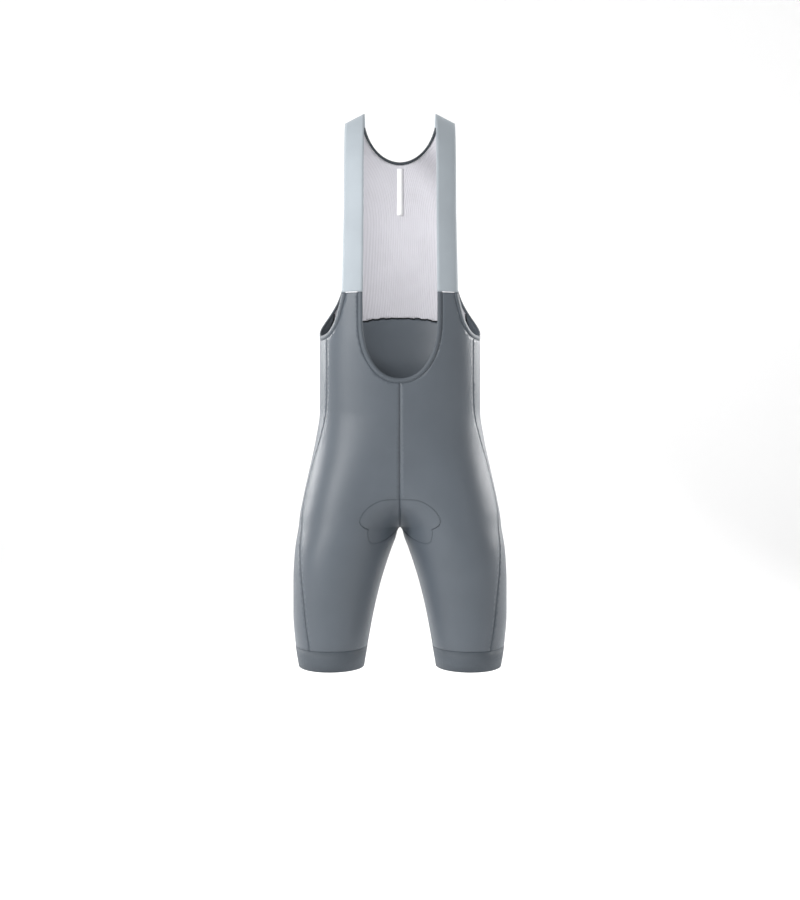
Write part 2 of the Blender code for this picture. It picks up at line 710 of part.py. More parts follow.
def mesh_sheet(seams):
    """The right half of the mesh back."""
    outline = outline_of(seams["mesh_hem"], seams["mesh_centre"][::-1], seams["neck"][::-1],
                         seams["strap_back"][::-1], seams["armhole"][2][::-1])
    chart, faces = cut_panel(outline, 1.0)
    points, normals = surface(chart)
    first = len(seams["mesh_hem"]) - 1
    last = first + MESH_ARM_CELLS
    sewn = seam_allowance(points, normals, len(outline), range(first + 1, last))
    sewn[first:last + 1, 0] = 0
    return Sheet(sewn, normals, faces)


def strip_sheet(edge, seam):
    """Points and normals of a binding between its free edge and its seam, in two rows."""
    outline = np.concatenate((seam, edge[::-1]))
    points, normals = surface(outline)
    sewn = seam_allowance(points, normals, len(outline))
    sewn = np.stack((sewn[len(seam):][::-1], sewn[:len(seam)]))
    normals = np.stack((normals[len(seam):][::-1], normals[:len(seam)]))
    return sewn, normals


def gripper_sheet(seams):
    """The gripper's ring, from its seam down to the hem."""
    seam = joined(seams["gripper_front"], seams["gripper_back"])
    rows = [seam - (0, SEAM_GAP / 2), seam - (0, GRIPPER_HEIGHT / 2), seam - (0, GRIPPER_HEIGHT)]
    points, normals = surface(np.array(rows))
    points[:, -1], normals[:, -1] = points[:, 0], normals[:, 0]
    return grid_sheet(points, normals)


def strap_sheet():
    """A strap from its seam on the back, over the shoulder, down to its seam on the front."""
    across = np.linspace(0, 1, STRAP_ACROSS + 1)
    middle = (FORM[-1, 0, 1] + FORM[-1, -1, 1]) / 2
    rows = []
    for turn in np.linspace(np.pi / 2 + STRAP_END_TURN, 0, STRAP_ARCH_CELLS + 1):
        x = STRAP_INNER[1] + (STRAP_OUTER[1] - STRAP_INNER[1]) * across
        face = "back" if turn > np.pi / 2 else "front"
        base = np.array([on_form(share_at(face, u, SHOULDER_BASE), SHOULDER_BASE) for u in x])
        y = middle + (base[:, 1] - middle) * abs(np.cos(turn))
        z = SHOULDER_BASE + (strap_height(x) - SHOULDER_BASE) * np.sin(turn)
        rows.append(np.stack((x, y, z), 1))
    for z in np.linspace(SHOULDER_BASE, STRAP_SEAM, STRAP_FRONT_CELLS + 1)[1:]:
        fall = (SHOULDER_BASE - z) / (SHOULDER_BASE - STRAP_SEAM)
        inner = STRAP_INNER[1] + (STRAP_INNER[0] - STRAP_INNER[1]) * fall
        outer = STRAP_OUTER[1] + (STRAP_OUTER[0] - STRAP_OUTER[1]) * fall
        x = inner + (outer - inner) * across
        rows.append(np.array([on_form(share_at("front", u, z), z) for u in x]))
    points = np.array(rows)
    down, right = np.gradient(points, axis=0), np.gradient(points, axis=1)
    normals = unit(np.cross(down, right))
    points[0] += unit(down[0]) * SEAM_GAP / 2
    points[-1] -= unit(down[-1]) * SEAM_GAP / 2
    return grid_sheet(points, normals)


def label_sheet():
    """The half of the label strip at positive x."""
    rows = []
    for z in np.linspace(LABEL_TOP, LABEL_BOTTOM, LABEL_CELLS + 1):
        rows.append([(share_at("back", LABEL_HALF_WIDTH, z), z), (1.0, z)])
    return grid_sheet(*surface(np.array(rows)))


def binding(edge, seam, centre=None):
    """A binding's half, with its column at centre put on the centre plane."""
    points, normals = strip_sheet(edge, seam)
    if centre is not None:
        points[:, centre, 0] = 0
        normals[:, centre, 0] = 0
    return grid_sheet(points, normals)


def build():
    for old in list(bpy.data.objects):
        bpy.data.objects.remove(old)
    garment = bpy.data.objects.new("garment", None)
    bpy.context.scene.collection.objects.link(garment)
    seams = all_seams()

    front, front_pad = front_sheets(seams)
    back, back_pad = back_sheets(seams)
    mesh = mesh_sheet(seams)
    strap = strap_sheet()
    gripper = gripper_sheet(seams)
    armhole = binding(joined(*seams["armhole_edge"]), joined(*seams["armhole"]))
    scoop = binding(seams["scoop_edge"], seams["scoop"], centre=0)
    neck = binding(seams["neck_edge"], seams["neck"], centre=-1)
    label = label_sheet()

    pairs = (("front", front, BODY_WALL, 0.0, "body_fabric"),
             ("strap", strap, STRAP_WALL, 0.0, "strap_elastic"),
             ("armhole_binding", armhole, BINDING_WALL, BINDING_PROUD, "binding_fabric"),
             ("gripper", gripper, GRIPPER_WALL, BINDING_PROUD, "gripper_elastic"))
    for name, sheet, thickness, lift, fabric in pairs:
        add_piece(name + "_left", wall([sheet], thickness, lift), fabric, garment)
        add_piece(name + "_right", wall([sheet.mirrored()], thickness, lift), fabric, garment)

    whole = (("back", back, BODY_WALL, 0.0, "body_fabric"),
             ("mesh_back", mesh, MESH_WALL, 0.0, "mesh_fabric"),
             ("scoop_binding", scoop, BINDING_WALL, BINDING_PROUD, "binding_fabric"),
             ("neck_binding", neck, BINDING_WALL, BINDING_PROUD, "neck_tape"),
             ("label", label, LABEL_WALL, -MESH_WALL - SEAM_GAP, "label_tape"))
    for name, sheet, thickness, lift, fabric in whole:
        add_piece(name, wall([sheet, sheet.mirrored()], thickness, lift), fabric, garment)

    halves = [front_pad, back_pad, front_pad.mirrored(), back_pad.mirrored()]
    add_piece("pad", wall(halves, PAD_WALL, -BODY_WALL - SEAM_GAP, PAD_EDGE), "pad_foam", garment)


build()
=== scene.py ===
"""Looks of the cycling bib shorts: detailed cloth on the form that the frame holds.

The form, its seams and its sizes are those of the frame's solids. Each cloth piece is cut from
the same seams at a finer pitch and finished with its own material. Threads are laid along the
seams as fine ridges. The cloth is smooth: it has a knit's bump and no creases."""

import bpy
import numpy as np
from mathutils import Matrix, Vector
from mathutils.geometry import delaunay_2d_cdt


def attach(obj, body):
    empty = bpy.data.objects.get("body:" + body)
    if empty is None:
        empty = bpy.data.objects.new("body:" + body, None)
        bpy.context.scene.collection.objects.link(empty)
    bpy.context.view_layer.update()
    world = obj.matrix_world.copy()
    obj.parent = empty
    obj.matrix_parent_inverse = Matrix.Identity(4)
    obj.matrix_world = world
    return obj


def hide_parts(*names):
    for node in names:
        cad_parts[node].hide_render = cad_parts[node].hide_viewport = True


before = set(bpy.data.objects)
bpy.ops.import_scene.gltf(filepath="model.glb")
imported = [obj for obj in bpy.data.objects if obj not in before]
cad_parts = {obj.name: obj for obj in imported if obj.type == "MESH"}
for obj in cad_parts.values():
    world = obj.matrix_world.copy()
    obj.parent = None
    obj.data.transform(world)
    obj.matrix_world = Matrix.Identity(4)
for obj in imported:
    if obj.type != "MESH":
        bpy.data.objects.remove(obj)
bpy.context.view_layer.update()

MM = 0.001

# Walls, gaps and narrow pieces
BODY_WALL = 1.5 * MM
MESH_WALL = 1.0 * MM
STRAP_WALL = 1.5 * MM
BINDING_WALL = 2.2 * MM
GRIPPER_WALL = 2.0 * MM
PAD_WALL = 7.0 * MM
PAD_EDGE = 2.0 * MM
LABEL_WALL = 1.0 * MM
SEAM_GAP = 0.3 * MM
BINDING_PROUD = 0.35 * MM
JOIN_DISTANCE = 0.005 * MM  # sheets join where their points are this near

# Heights
STRAP_TOP = 8 * MM          # outer face of the strap's inner edge, over the shoulder
SHOULDER_BASE = -170 * MM   # the chest tube ends and the shoulder arch begins
STRAP_SEAM = -303 * MM      # where each strap is sewn to its front panel
CROTCH = -694 * MM
FORM_FOOT = -945 * MM
HEM = -928 * MM             # leg hem, level with the middle of the leg's depth
HEM_TILT = 0.088            # the hem is this much lower for each metre to the front
GRIPPER_HEIGHT = 34 * MM

# Widths
STRAP_INNER = (61.6 * MM, 60.4 * MM)    # half-widths at the strap seam and at the top
STRAP_OUTER = (96.0 * MM, 93.0 * MM)
SHOULDER_SLOPE = 0.515
STRAP_END_TURN = np.radians(23)         # how far past the top each strap runs down the back
SCOOP_HALF_WIDTH = 61.6 * MM
SCOOP_BOTTOM = -445 * MM
SCOOP_SHOULDER = -349 * MM              # the scoop's curve ends here and its edge runs straight up
SCOOP_POWER = 2.15
NECK_HALF_WIDTH = 63.5 * MM
NECK_BOTTOM = -58.4 * MM
NECK_CENTRE = 17.2 * MM                 # height of the neckline ellipse's centre
BINDING = 8 * MM
BINDING_BACK = 4.5 * MM                 # the armhole binding narrows to this behind the arm
NECK_BINDING = 5 * MM
BRIDGE = 5 * MM                         # softness of the fold between the legs

# The body and leg form. Each row is a section in mm: height, widest half-width, half-width of
# the most forward line, half-width of the inner leg (negative above the crotch, where it only
# shapes the hollow between the thighs), front and back faces, and the roundness exponent.
SECTION_COLUMNS = ("z", "wide", "ridge", "inner", "front", "back", "power")
SECTIONS = (
    (-945, 168.5, 117, 64.0, -60, 58, 2.05),
    (-893, 177.0, 118, 55.2, -68, 65, 2.05),
    (-838, 181.0, 116, 45.3, -75, 71, 2.05),
    (-784, 181.0, 112, 32.7, -83, 79, 2.05),
    (-756, 180.0, 107, 24.3, -87, 86, 2.1),
    (-729, 178.0, 100, 15.3, -89, 93, 2.1),
    (-712, 175.5, 94, 9.3, -90, 98, 2.1),
    (-694, 172.5, 87, 5.0, -91, 104, 2.1),
    (-674, 170.5, 79, -15.0, -91.5, 113, 2.15),
    (-644, 165.0, 70, -97.0, -92, 121, 2.2),
    (-594, 154.0, 50, -375.0, -93, 123, 2.25),
    (-539, 142.0, 18, -700.0, -96, 107, 2.3),
    (-498, 136.0, 0, -800.0, -98, 94, 2.35),
    (-420, 135.7, 0, -800.0, -103, 92, 2.4),
    (-365, 135.7, 0, -800.0, -107, 100, 2.4),
    (-300, 135.7, 0, -800.0, -109, 107, 2.4),
    (-170, 135.7, 0, -800.0, -108, 112, 2.4),
)

# How far inside the widest line of the form the side seam runs, on its front face, in mm
SIDE_SEAM_COLUMNS = ("z", "inset")
SIDE_SEAM = (
    (-940, 26.5),
    (-890, 25.2),
    (-830, 21.2),
    (-760, 14.2),
    (-700, 7.8),
    (-640, 4.2),
    (-585, 5.6),
    (-530, 10.3),
    (-460, 14.0),
    (-360, 14.0),
)

# How far in front of the leg's innermost line the inseam runs, as a share of the leg's girth
INSEAM_COLUMNS = ("z", "share")
INSEAM = (
    (-940, 0.040),
    (-890, 0.032),
    (-830, 0.018),
    (-770, 0.005),
    (-720, 0.0),
    (-694, 0.0),
    (-360, 0.0),
)

# The armhole's edge from the strap seam down the front, under the arm and up the back, in mm
ARMHOLE = (
    ("front", 96.0, -303.0),
    ("front", 101.5, -325.0),
    ("front", 109.5, -351.0),
    ("front", 119.0, -366.0),
    ("front", 130.0, -371.0),
    ("side", 135.7, -364.0),
    ("back", 131.8, -349.6),
    ("back", 121.5, -331.0),
    ("back", 110.0, -309.0),
    ("back", 98.0, -270.0),
    ("back", 92.5, -205.0),
    ("back", 92.5, -110.0),
    ("back", 93.0, -21.8),
)

# The seam between the mesh and the back, from the armhole binding to the centre, in mm
MESH_SEAM = (
    (116.0, -338.0),
    (119.5, -350.0),
    (113.0, -354.5),
    (92.0, -348.0),
    (65.0, -338.5),
    (32.0, -333.0),
    (0.0, -332.0),
)
MESH_TIP = -328 * MM        # height at which that seam leaves the armhole binding

# The pad's outline on the front and on the back: half-width and height in mm, from its end
# at the centre line round to the inseam
PAD_FRONT = ((0, -645), (34, -648), (57, -663), (64, -688), (52, -712), (18, -733))
PAD_BACK = ((0, -575), (36, -580), (62, -602), (70, -650), (56, -702), (18, -733))

PAD_CELLS = 60

LABEL_HALF_WIDTH = 5 * MM
LABEL_CELLS = 20
LABEL_TOP = -69 * MM
LABEL_BOTTOM = -150 * MM

# Cells along the seams, and the size of the triangles inside the panels
SCOOP_CELLS, STRAP_SEAM_CELLS, FRONT_ARM_CELLS = 54, 6, 28
UNDERARM_CELLS, MESH_SIDE_CELLS, MESH_HEM_CELLS = 36, 8, 30
NECK_CELLS, STRAP_END_CELLS, MESH_ARM_CELLS = 30, 6, 80
CENTRE_CELLS, INSEAM_CELLS, SIDE_CELLS = 96, 60, 120
HEM_FRONT_CELLS, HEM_BACK_CELLS = 40, 56
CROTCH_CROWDING = 1.5
PANEL_LATTICE = 4.6 * MM
CROTCH_LATTICE = 2.6 * MM
CROTCH_REACH = 42 * MM      # the lattice is finer this near to the crotch
FLAT_GIRTH = 370 * MM       # length of the whole girth share when a panel is laid flat
STRAP_ACROSS, STRAP_FRONT_CELLS, STRAP_ARCH_CELLS = 8, 30, 70

def column(table, names, name):
    """One column of a table, in metres where it holds millimetres."""
    values = np.array([row[names.index(name)] for row in table], float)
    return values if name in ("power", "share") else values * MM


def smooth_curve(knots, values, at):
    """Cubic through the values, with no overshoot between them."""
    step, rise = np.diff(knots), np.diff(values) / np.diff(knots)
    slope = np.concatenate(([rise[0]], np.zeros(len(rise) - 1), [rise[-1]]))
    for k in range(1, len(rise)):
        if rise[k - 1] * rise[k] > 0:
            near, far = 2 * step[k] + step[k - 1], step[k] + 2 * step[k - 1]
            slope[k] = (near + far) / (near / rise[k - 1] + far / rise[k])
    k = np.clip(np.searchsorted(knots, at) - 1, 0, len(step) - 1)
    t = (at - knots[k]) / step[k]
    start = values[k] * (1 + 2 * t) * (1 - t) ** 2 + values[k + 1] * t * t * (3 - 2 * t)
    return start + step[k] * (slope[k] * t * (1 - t) ** 2 + slope[k + 1] * t * t * (t - 1))


def table_curve(table, names, name, z):
    """A column of a table, read smoothly at the heights z."""
    return smooth_curve(column(table, names, "z"), column(table, names, name), z)


def along(points):
    """Distance along a line of points, from its start."""
    return np.concatenate(([0], np.cumsum(np.linalg.norm(np.diff(points, axis=0), axis=1))))


# ---------------------------------------------------------------- the form

FORM_STEP = 1 * MM
FORM_Z = np.arange(round((SHOULDER_BASE - FORM_FOOT) / FORM_STEP) + 1) * FORM_STEP + FORM_FOOT
FORM_COLUMNS = 321
SECTION_SAMPLES = 180


def half_section(wide, ridge, inner, front, back, power):
    """Outline of the right half of a section, from its inner front end to its inner back end."""
    middle = (front + back) / 2
    x, depth = np.zeros(0), np.zeros(0)
    if ridge > BRIDGE:
        reach = ridge - inner
        swing = np.linspace(np.arcsin(min(1.0, (ridge - BRIDGE) / reach)), 0, SECTION_SAMPLES)[:-1]
        x, depth = ridge - reach * np.sin(swing), np.cos(swing)
    turn = np.linspace(0, np.pi / 2, 3 * SECTION_SAMPLES)
    x = np.concatenate((x, ridge + (wide - ridge) * np.sin(turn) ** (2 / power)))
    depth = np.concatenate((depth, np.cos(turn) ** (2 / power)))
    x = np.sqrt(np.maximum(x, BRIDGE) ** 2 - BRIDGE ** 2)
    x *= wide / x[-1]
    front_half = np.stack((x, middle + (front - middle) * depth), 1)
    back_half = np.stack((x, middle + (back - middle) * depth), 1)[-2::-1]
    return np.concatenate((front_half, back_half))


def build_form():
    """The form's x and y on a grid of heights and girth shares, and each row's widest share."""
    names = SECTION_COLUMNS[1:]
    profiles = [table_curve(SECTIONS, SECTION_COLUMNS, name, FORM_Z) for name in names]
    grid = np.zeros((len(FORM_Z), FORM_COLUMNS, 2))
    for row, sizes in enumerate(zip(*profiles)):
        outline = half_section(*sizes)
        travelled = along(outline)
        even = np.linspace(0, travelled[-1], FORM_COLUMNS)
        for axis in (0, 1):
            grid[row, :, axis] = np.interp(even, travelled, outline[:, axis])
    return grid


FORM = build_form()


def strap_height(x):
    """Height of the shoulder line over the half-width x."""
    return STRAP_TOP - SHOULDER_SLOPE * (np.abs(x) - STRAP_INNER[1])


def on_form(g, z):
    """Points of the form at girth shares g and heights z.

    Past 0 or 1 a share goes on round a leg below the crotch, and over to the other side of
    the body above it."""
    g, z = np.broadcast_arrays(np.asarray(g, float), np.asarray(z, float))
    low = np.clip(z, FORM_FOOT, SHOULDER_BASE)
    leg = low < CROTCH - 1e-9
    side = np.where(~leg & ((g < 0) | (g > 1)), -1.0, 1.0)
    share = np.where(leg, np.where(g == 1, 1.0, g % 1.0), np.where(g < 0, -g, np.where(g > 1, 2 - g, g)))
    row = (low - FORM_FOOT) / FORM_STEP
    r = np.clip(row.astype(int), 0, len(FORM_Z) - 2)
    col = share * (FORM_COLUMNS - 1)
    c = np.clip(col.astype(int), 0, FORM_COLUMNS - 2)
    fr, fc = (row - r)[..., None], (col - c)[..., None]
    xy = ((FORM[r, c] * (1 - fc) + FORM[r, c + 1] * fc) * (1 - fr)
          + (FORM[r + 1, c] * (1 - fc) + FORM[r + 1, c + 1] * fc) * fr)
    x, y = xy[..., 0], xy[..., 1]
    middle = (FORM[-1, 0, 1] + FORM[-1, -1, 1]) / 2
    rise = np.clip((z - SHOULDER_BASE) / (strap_height(x) - SHOULDER_BASE), 0, 1)
    y = np.where(z > SHOULDER_BASE, middle + (y - middle) * np.sqrt(1 - rise ** 2), y)
    return np.stack((x * side, y, z), -1)


def unit(vectors):
    return vectors / np.linalg.norm(vectors, axis=-1, keepdims=True)


def outward(g, z):
    """Unit normals of the form, pointing out of the garment."""
    dg, dz = 0.004, 1 * MM
    across = on_form(g + dg, z) - on_form(g - dg, z)
    up = on_form(g, z + dz) - on_form(g, z - dz)
    normal = unit(np.cross(across, up))
    centred = np.abs(on_form(g, z)[..., 0]) < 1e-7
    normal[..., 0] = np.where(centred, 0, normal[..., 0])
    return unit(normal)


def share_at(face, x, z):
    """Girth share where the form's front, side or back has the half-width x at height z."""
    row = FORM[int(round((min(z, SHOULDER_BASE) - FORM_FOOT) / FORM_STEP)), :, 0]
    widest = int(np.argmax(row))
    shares = np.linspace(0, 1, FORM_COLUMNS)
    if face == "side":
        return shares[widest]
    if face == "front":
        return np.interp(x, row[:widest + 1], shares[:widest + 1])
    return np.interp(x, row[widest:][::-1], shares[widest:][::-1])


# ---------------------------------------------------------------- seams and edges, as (g, z)

def resampled(curve, cells, crowd_start=1.0, crowd_end=1.0):
    """The curve with equal steps along the cloth, or steps that shorten towards an end."""
    travelled = along(on_form(curve[:, 0], curve[:, 1]))
    even = 1 - (1 - np.linspace(0, 1, cells + 1) ** crowd_start) ** crowd_end
    even *= travelled[-1]
    return np.stack([np.interp(even, travelled, curve[:, axis]) for axis in (0, 1)], 1)


def flowing(points, samples=160):
    """A smooth curve through points of the form."""
    points = np.array(points, float)
    travelled = along(on_form(points[:, 0], points[:, 1]))
    at = np.linspace(0, travelled[-1], samples)
    slopes = [np.gradient(points[:, axis], travelled) for axis in (0, 1)]
    k = np.clip(np.searchsorted(travelled, at) - 1, 0, len(travelled) - 2)
    step = travelled[k + 1] - travelled[k]
    t = (at - travelled[k]) / step
    curve = []
    for axis in (0, 1):
        v, m = points[:, axis], slopes[axis]
        curve.append(v[k] * (1 + 2 * t) * (1 - t) ** 2 + v[k + 1] * t * t * (3 - 2 * t)
                     + step * (m[k] * t * (1 - t) ** 2 + m[k + 1] * t * t * (t - 1)))
    return np.stack(curve, 1)


def stepped_aside(curve, widths, passes=4):
    """The curve moved over the form to its right-hand side by the given widths."""
    g, z = curve[:, 0].copy(), curve[:, 1].copy()
    dg, dz = 0.002, 0.5 * MM
    for _ in range(passes):
        points = on_form(g, z)
        aside = np.cross(unit(np.gradient(points, axis=0)), outward(g, z))
        want = aside * (widths / passes)[:, None]
        along_g = (on_form(g + dg, z) - on_form(g - dg, z)) / (2 * dg)
        along_z = (on_form(g, z + dz) - on_form(g, z - dz)) / (2 * dz)
        a, b, c = (np.sum(p * q, -1) for p, q in
                   ((along_g, along_g), (along_g, along_z), (along_z, along_z)))
        p, q = np.sum(along_g * want, -1), np.sum(along_z * want, -1)
        g += (c * p - b * q) / (a * c - b * b)
        z += (a * q - b * p) / (a * c - b * b)
    return np.stack((g, z), 1)


def strap_end_height(x):
    """Height of the seam at the strap's back end over the half-width x."""
    return SHOULDER_BASE + (strap_height(x) - SHOULDER_BASE) * np.cos(STRAP_END_TURN)


def scoop_curve(widen):
    """The front scoop from its bottom up to the strap seam, moved out by widen."""
    turn = np.linspace(0, np.pi / 2, 120)
    x = (SCOOP_HALF_WIDTH + widen) * np.sin(turn) ** (2 / SCOOP_POWER)
    z = SCOOP_SHOULDER - (SCOOP_SHOULDER - SCOOP_BOTTOM + widen) * np.cos(turn) ** (2 / SCOOP_POWER)
    x, z = np.append(x, x[-1]), np.append(z, STRAP_SEAM)
    return np.array([(share_at("front", u, v), v) for u, v in zip(x, z)])


def neck_curve(widen):
    """The back neckline from the strap's end to the centre back, moved down by widen."""
    turn = np.linspace(np.pi / 2, 0, 240)
    x = (NECK_HALF_WIDTH + widen) * np.sin(turn)
    z = NECK_CENTRE - (NECK_CENTRE - NECK_BOTTOM + widen) * np.cos(turn)
    inside = z < strap_end_height(x)
    x, z = x[inside], z[inside]
    z[0] = strap_end_height(x[0])
    return np.array([(share_at("back", u, v), v) for u, v in zip(x, z)])


def armhole_curve():
    edge = flowing([(share_at(face, x * MM, z * MM), z * MM) for face, x, z in ARMHOLE])
    edge[-1, 1] = strap_end_height(on_form(edge[-1, 0], edge[-1, 1])[0])
    return edge


def armhole_seam(edge):
    """The seam of the armhole binding, beside its edge."""
    share = np.clip((edge[:, 0] - edge[0, 0]) / 0.35, 0, 1)
    seam = stepped_aside(edge, BINDING + (BINDING_BACK - BINDING) * share ** 2)
    seam[0, 1] = STRAP_SEAM
    seam[-1, 1] = strap_end_height(on_form(seam[-1, 0], seam[-1, 1])[0])
    return seam


def side_seam_point(z):
    """Girth share of the side seam at height z."""
    wide = table_curve(SECTIONS, SECTION_COLUMNS, "wide", np.array([z]))[0]
    inset = table_curve(SIDE_SEAM, SIDE_SEAM_COLUMNS, "inset", np.array([z]))[0]
    return share_at("front", wide - inset, z)


def inseam_share(z):
    return table_curve(INSEAM, INSEAM_COLUMNS, "share", np.atleast_1d(z))


def straight(start, end, cells):
    return np.linspace(start, end, cells + 1)


def split_near(curve, column_index, value, start=0):
    """Index of the curve's point, from start on, that is nearest to the value."""
    return start + int(np.argmin(np.abs(curve[start:, column_index] - value)))


def leg_seams(seams):
    """The gripper seams, side seam and inseam."""
    level = HEM + GRIPPER_HEIGHT
    side_share, front_share = side_seam_point(level), inseam_share(level)[0]
    middle = on_form(np.linspace(0, 1, 41)[:-1], level)[:, 1].mean()
    spans = {"gripper_front": (front_share, side_share, HEM_FRONT_CELLS),
             "gripper_back": (side_share, 1 + front_share, HEM_BACK_CELLS)}
    for name, (start, end, cells) in spans.items():
        share = np.linspace(start, end, cells + 1)
        y = on_form(share, np.full_like(share, level))[:, 1]
        seams[name] = np.stack((share, level + HEM_TILT * (y - middle)), 1)
    turn = np.linspace(0, 1, 200)
    top, foot = seams["armhole"][0][-1], seams["gripper_front"][-1]
    heights = top[1] + (foot[1] - top[1]) * turn
    side = np.array([(side_seam_point(z), z) for z in heights])
    side[0], side[-1] = top, foot
    seams["side"] = resampled(side, SIDE_CELLS)
    foot = seams["gripper_front"][0]
    heights = CROTCH + (foot[1] - CROTCH) * turn
    inseam = np.stack((inseam_share(heights), heights), 1)
    inseam[-1] = foot
    seams["inseam"] = resampled(inseam, INSEAM_CELLS, crowd_start=CROTCH_CROWDING)


def upper_seams(seams):
    """The seams of the bindings, the mesh and the strap ends, and the centre lines."""
    seams["scoop_edge"] = resampled(scoop_curve(0), SCOOP_CELLS)
    seams["scoop"] = resampled(scoop_curve(BINDING), SCOOP_CELLS)
    edge = armhole_curve()
    seam = armhole_seam(edge)
    side = next(k for k in range(len(seam)) if seam[k, 0] >= side_seam_point(seam[k, 1])
                and seam[k, 1] < MESH_TIP)
    tip = split_near(seam, 1, MESH_TIP, side + 8)
    parts = ((0, side, FRONT_ARM_CELLS), (side, tip, UNDERARM_CELLS),
             (tip, len(seam) - 1, MESH_ARM_CELLS))
    for name, line in (("armhole_edge", edge), ("armhole", seam)):
        seams[name] = [resampled(line[a:b + 1], cells) for a, b, cells in parts]
    seams["strap_front"] = straight(seams["scoop"][-1], seam[0], STRAP_SEAM_CELLS)
    mesh_hem = [tuple(seam[tip])] + [(share_at("back", x * MM, z * MM), z * MM) for x, z in MESH_SEAM]
    mesh_hem = flowing(mesh_hem)
    corner = split_near(mesh_hem, 1, min(mesh_hem[:, 1]))
    seams["mesh_hem"] = np.concatenate((resampled(mesh_hem[:corner + 1], MESH_SIDE_CELLS),
                                        resampled(mesh_hem[corner:], MESH_HEM_CELLS)[1:]))
    seams["neck_edge"] = resampled(neck_curve(0), NECK_CELLS)
    seams["neck"] = resampled(neck_curve(NECK_BINDING), NECK_CELLS)
    outer, inner = seam[-1], seams["neck"][0]
    ends = [on_form(*point)[0] for point in (outer, inner)]
    x = np.linspace(*ends, STRAP_END_CELLS + 1)
    seams["strap_back"] = np.array([(share_at("back", u, strap_end_height(u)), strap_end_height(u))
                                    for u in x])
    seams["strap_back"][0], seams["strap_back"][-1] = outer, inner
    seams["mesh_centre"] = straight(seams["neck"][-1], seams["mesh_hem"][-1], MESH_ARM_CELLS)


def centre_line(share, top):
    """The centre line from the height top down to the crotch."""
    heights = np.linspace(top, CROTCH, 200)
    line = np.stack((np.full_like(heights, share), heights), 1)
    return resampled(line, CENTRE_CELLS, crowd_end=CROTCH_CROWDING)


def all_seams():
    """Every shared seam of the right half, as lines of form points."""
    seams = {}
    upper_seams(seams)
    leg_seams(seams)
    seams["centre_front"] = centre_line(0.0, seams["scoop"][0, 1])
    seams["centre_back"] = centre_line(1.0, seams["mesh_hem"][-1, 1])
    return seams


INSIDE_ONLY = 1     # the triangulation keeps only the triangles inside the outline


class Sheet:
    """A stretch of cloth on the form: points, outward normals and faces turned outward."""

    def __init__(self, points, normals, faces):
        self.points, self.normals, self.faces = points, normals, faces

    def mirrored(self):
        flip = np.array((-1, 1, 1))
        return Sheet(self.points * flip, self.normals * flip, [face[::-1] for face in self.faces])


def surface(chart):
    """Points and outward normals at form points."""
    return on_form(chart[..., 0], chart[..., 1]), outward(chart[..., 0], chart[..., 1])


def grid_sheet(points, normals):
    """A sheet from a grid whose rows run down and whose columns run with the girth."""
    rows, columns = points.shape[:2]
    ids = np.arange(rows * columns).reshape(rows, columns)
    faces = [[int(v) for v in (ids[i, j], ids[i + 1, j], ids[i + 1, j + 1], ids[i, j + 1])]
             for i, j in np.ndindex(rows - 1, columns - 1)]
    return Sheet(points.reshape(-1, 3), normals.reshape(-1, 3), faces)


def inside_outline(points, outline):
    """Which flat points lie inside a closed outline."""
    x, y = points[:, 0], points[:, 1]
    inside = np.zeros(len(points), bool)
    for (x1, y1), (x2, y2) in zip(outline, np.roll(outline, -1, axis=0)):
        if y1 == y2:
            continue
        crosses = ((y1 > y) != (y2 > y)) & (x < (x2 - x1) * (y - y1) / (y2 - y1) + x1)
        inside ^= crosses
    return inside


def distance_to(points, line):
    """Distance from each flat point to a line of points."""
    best = np.full(len(points), np.inf)
    for a, b in zip(line[:-1], line[1:]):
        span = b - a
        t = np.clip((points - a) @ span / max(span @ span, 1e-18), 0, 1)
        best = np.minimum(best, np.linalg.norm(points - a - t[:, None] * span, axis=1))
    return best


def lattice(low, high, step):
    """Points of a triangular lattice over a flat box."""
    rows = np.arange(low[1], high[1], step * 0.87)
    points = [(x + step / 2 * (k % 2), y) for k, y in enumerate(rows)
              for x in np.arange(low[0], high[0], step)]
    return np.array(points)


def cut_panel(outline, crotch_share, marks=()):
    """Form points and triangles inside an outline of form points that runs anticlockwise as
    seen from outside. marks are lines inside the panel that its triangles follow."""
    flat = outline * (FLAT_GIRTH, 1)
    closed = np.concatenate((flat, flat[:1]))
    lines = [mark * (FLAT_GIRTH, 1) for mark in marks]
    crotch = np.array((crotch_share * FLAT_GIRTH, CROTCH))
    inner = []
    for step, near in ((PANEL_LATTICE, False), (CROTCH_LATTICE, True)):
        points = lattice(flat.min(0), flat.max(0), step)
        reach = np.linalg.norm(points - crotch, axis=1) < CROTCH_REACH
        clear = distance_to(points, closed) > 0.5 * step
        for line in lines:
            clear &= distance_to(points, line) > 0.5 * step
        inner.append(points[(reach == near) & clear & inside_outline(points, flat)])
    corners = list(flat)
    edges = [(k, (k + 1) % len(flat)) for k in range(len(flat))]
    for line in lines:
        first = len(corners)
        ids = ([int(np.argmin(np.linalg.norm(flat - line[0], axis=1)))]
               + list(range(first, first + len(line) - 2))
               + [int(np.argmin(np.linalg.norm(flat - line[-1], axis=1)))])
        corners.extend(line[1:-1])
        edges.extend(zip(ids[:-1], ids[1:]))
    corners = np.concatenate([np.array(corners)] + inner)
    found = delaunay_2d_cdt([Vector(c) for c in corners], edges, [], INSIDE_ONLY, 1e-7)
    chart = np.array([tuple(v) for v in found[0]]) / (FLAT_GIRTH, 1)
    chart[:len(outline)] = outline
    return chart, [list(face) for face in found[2]]


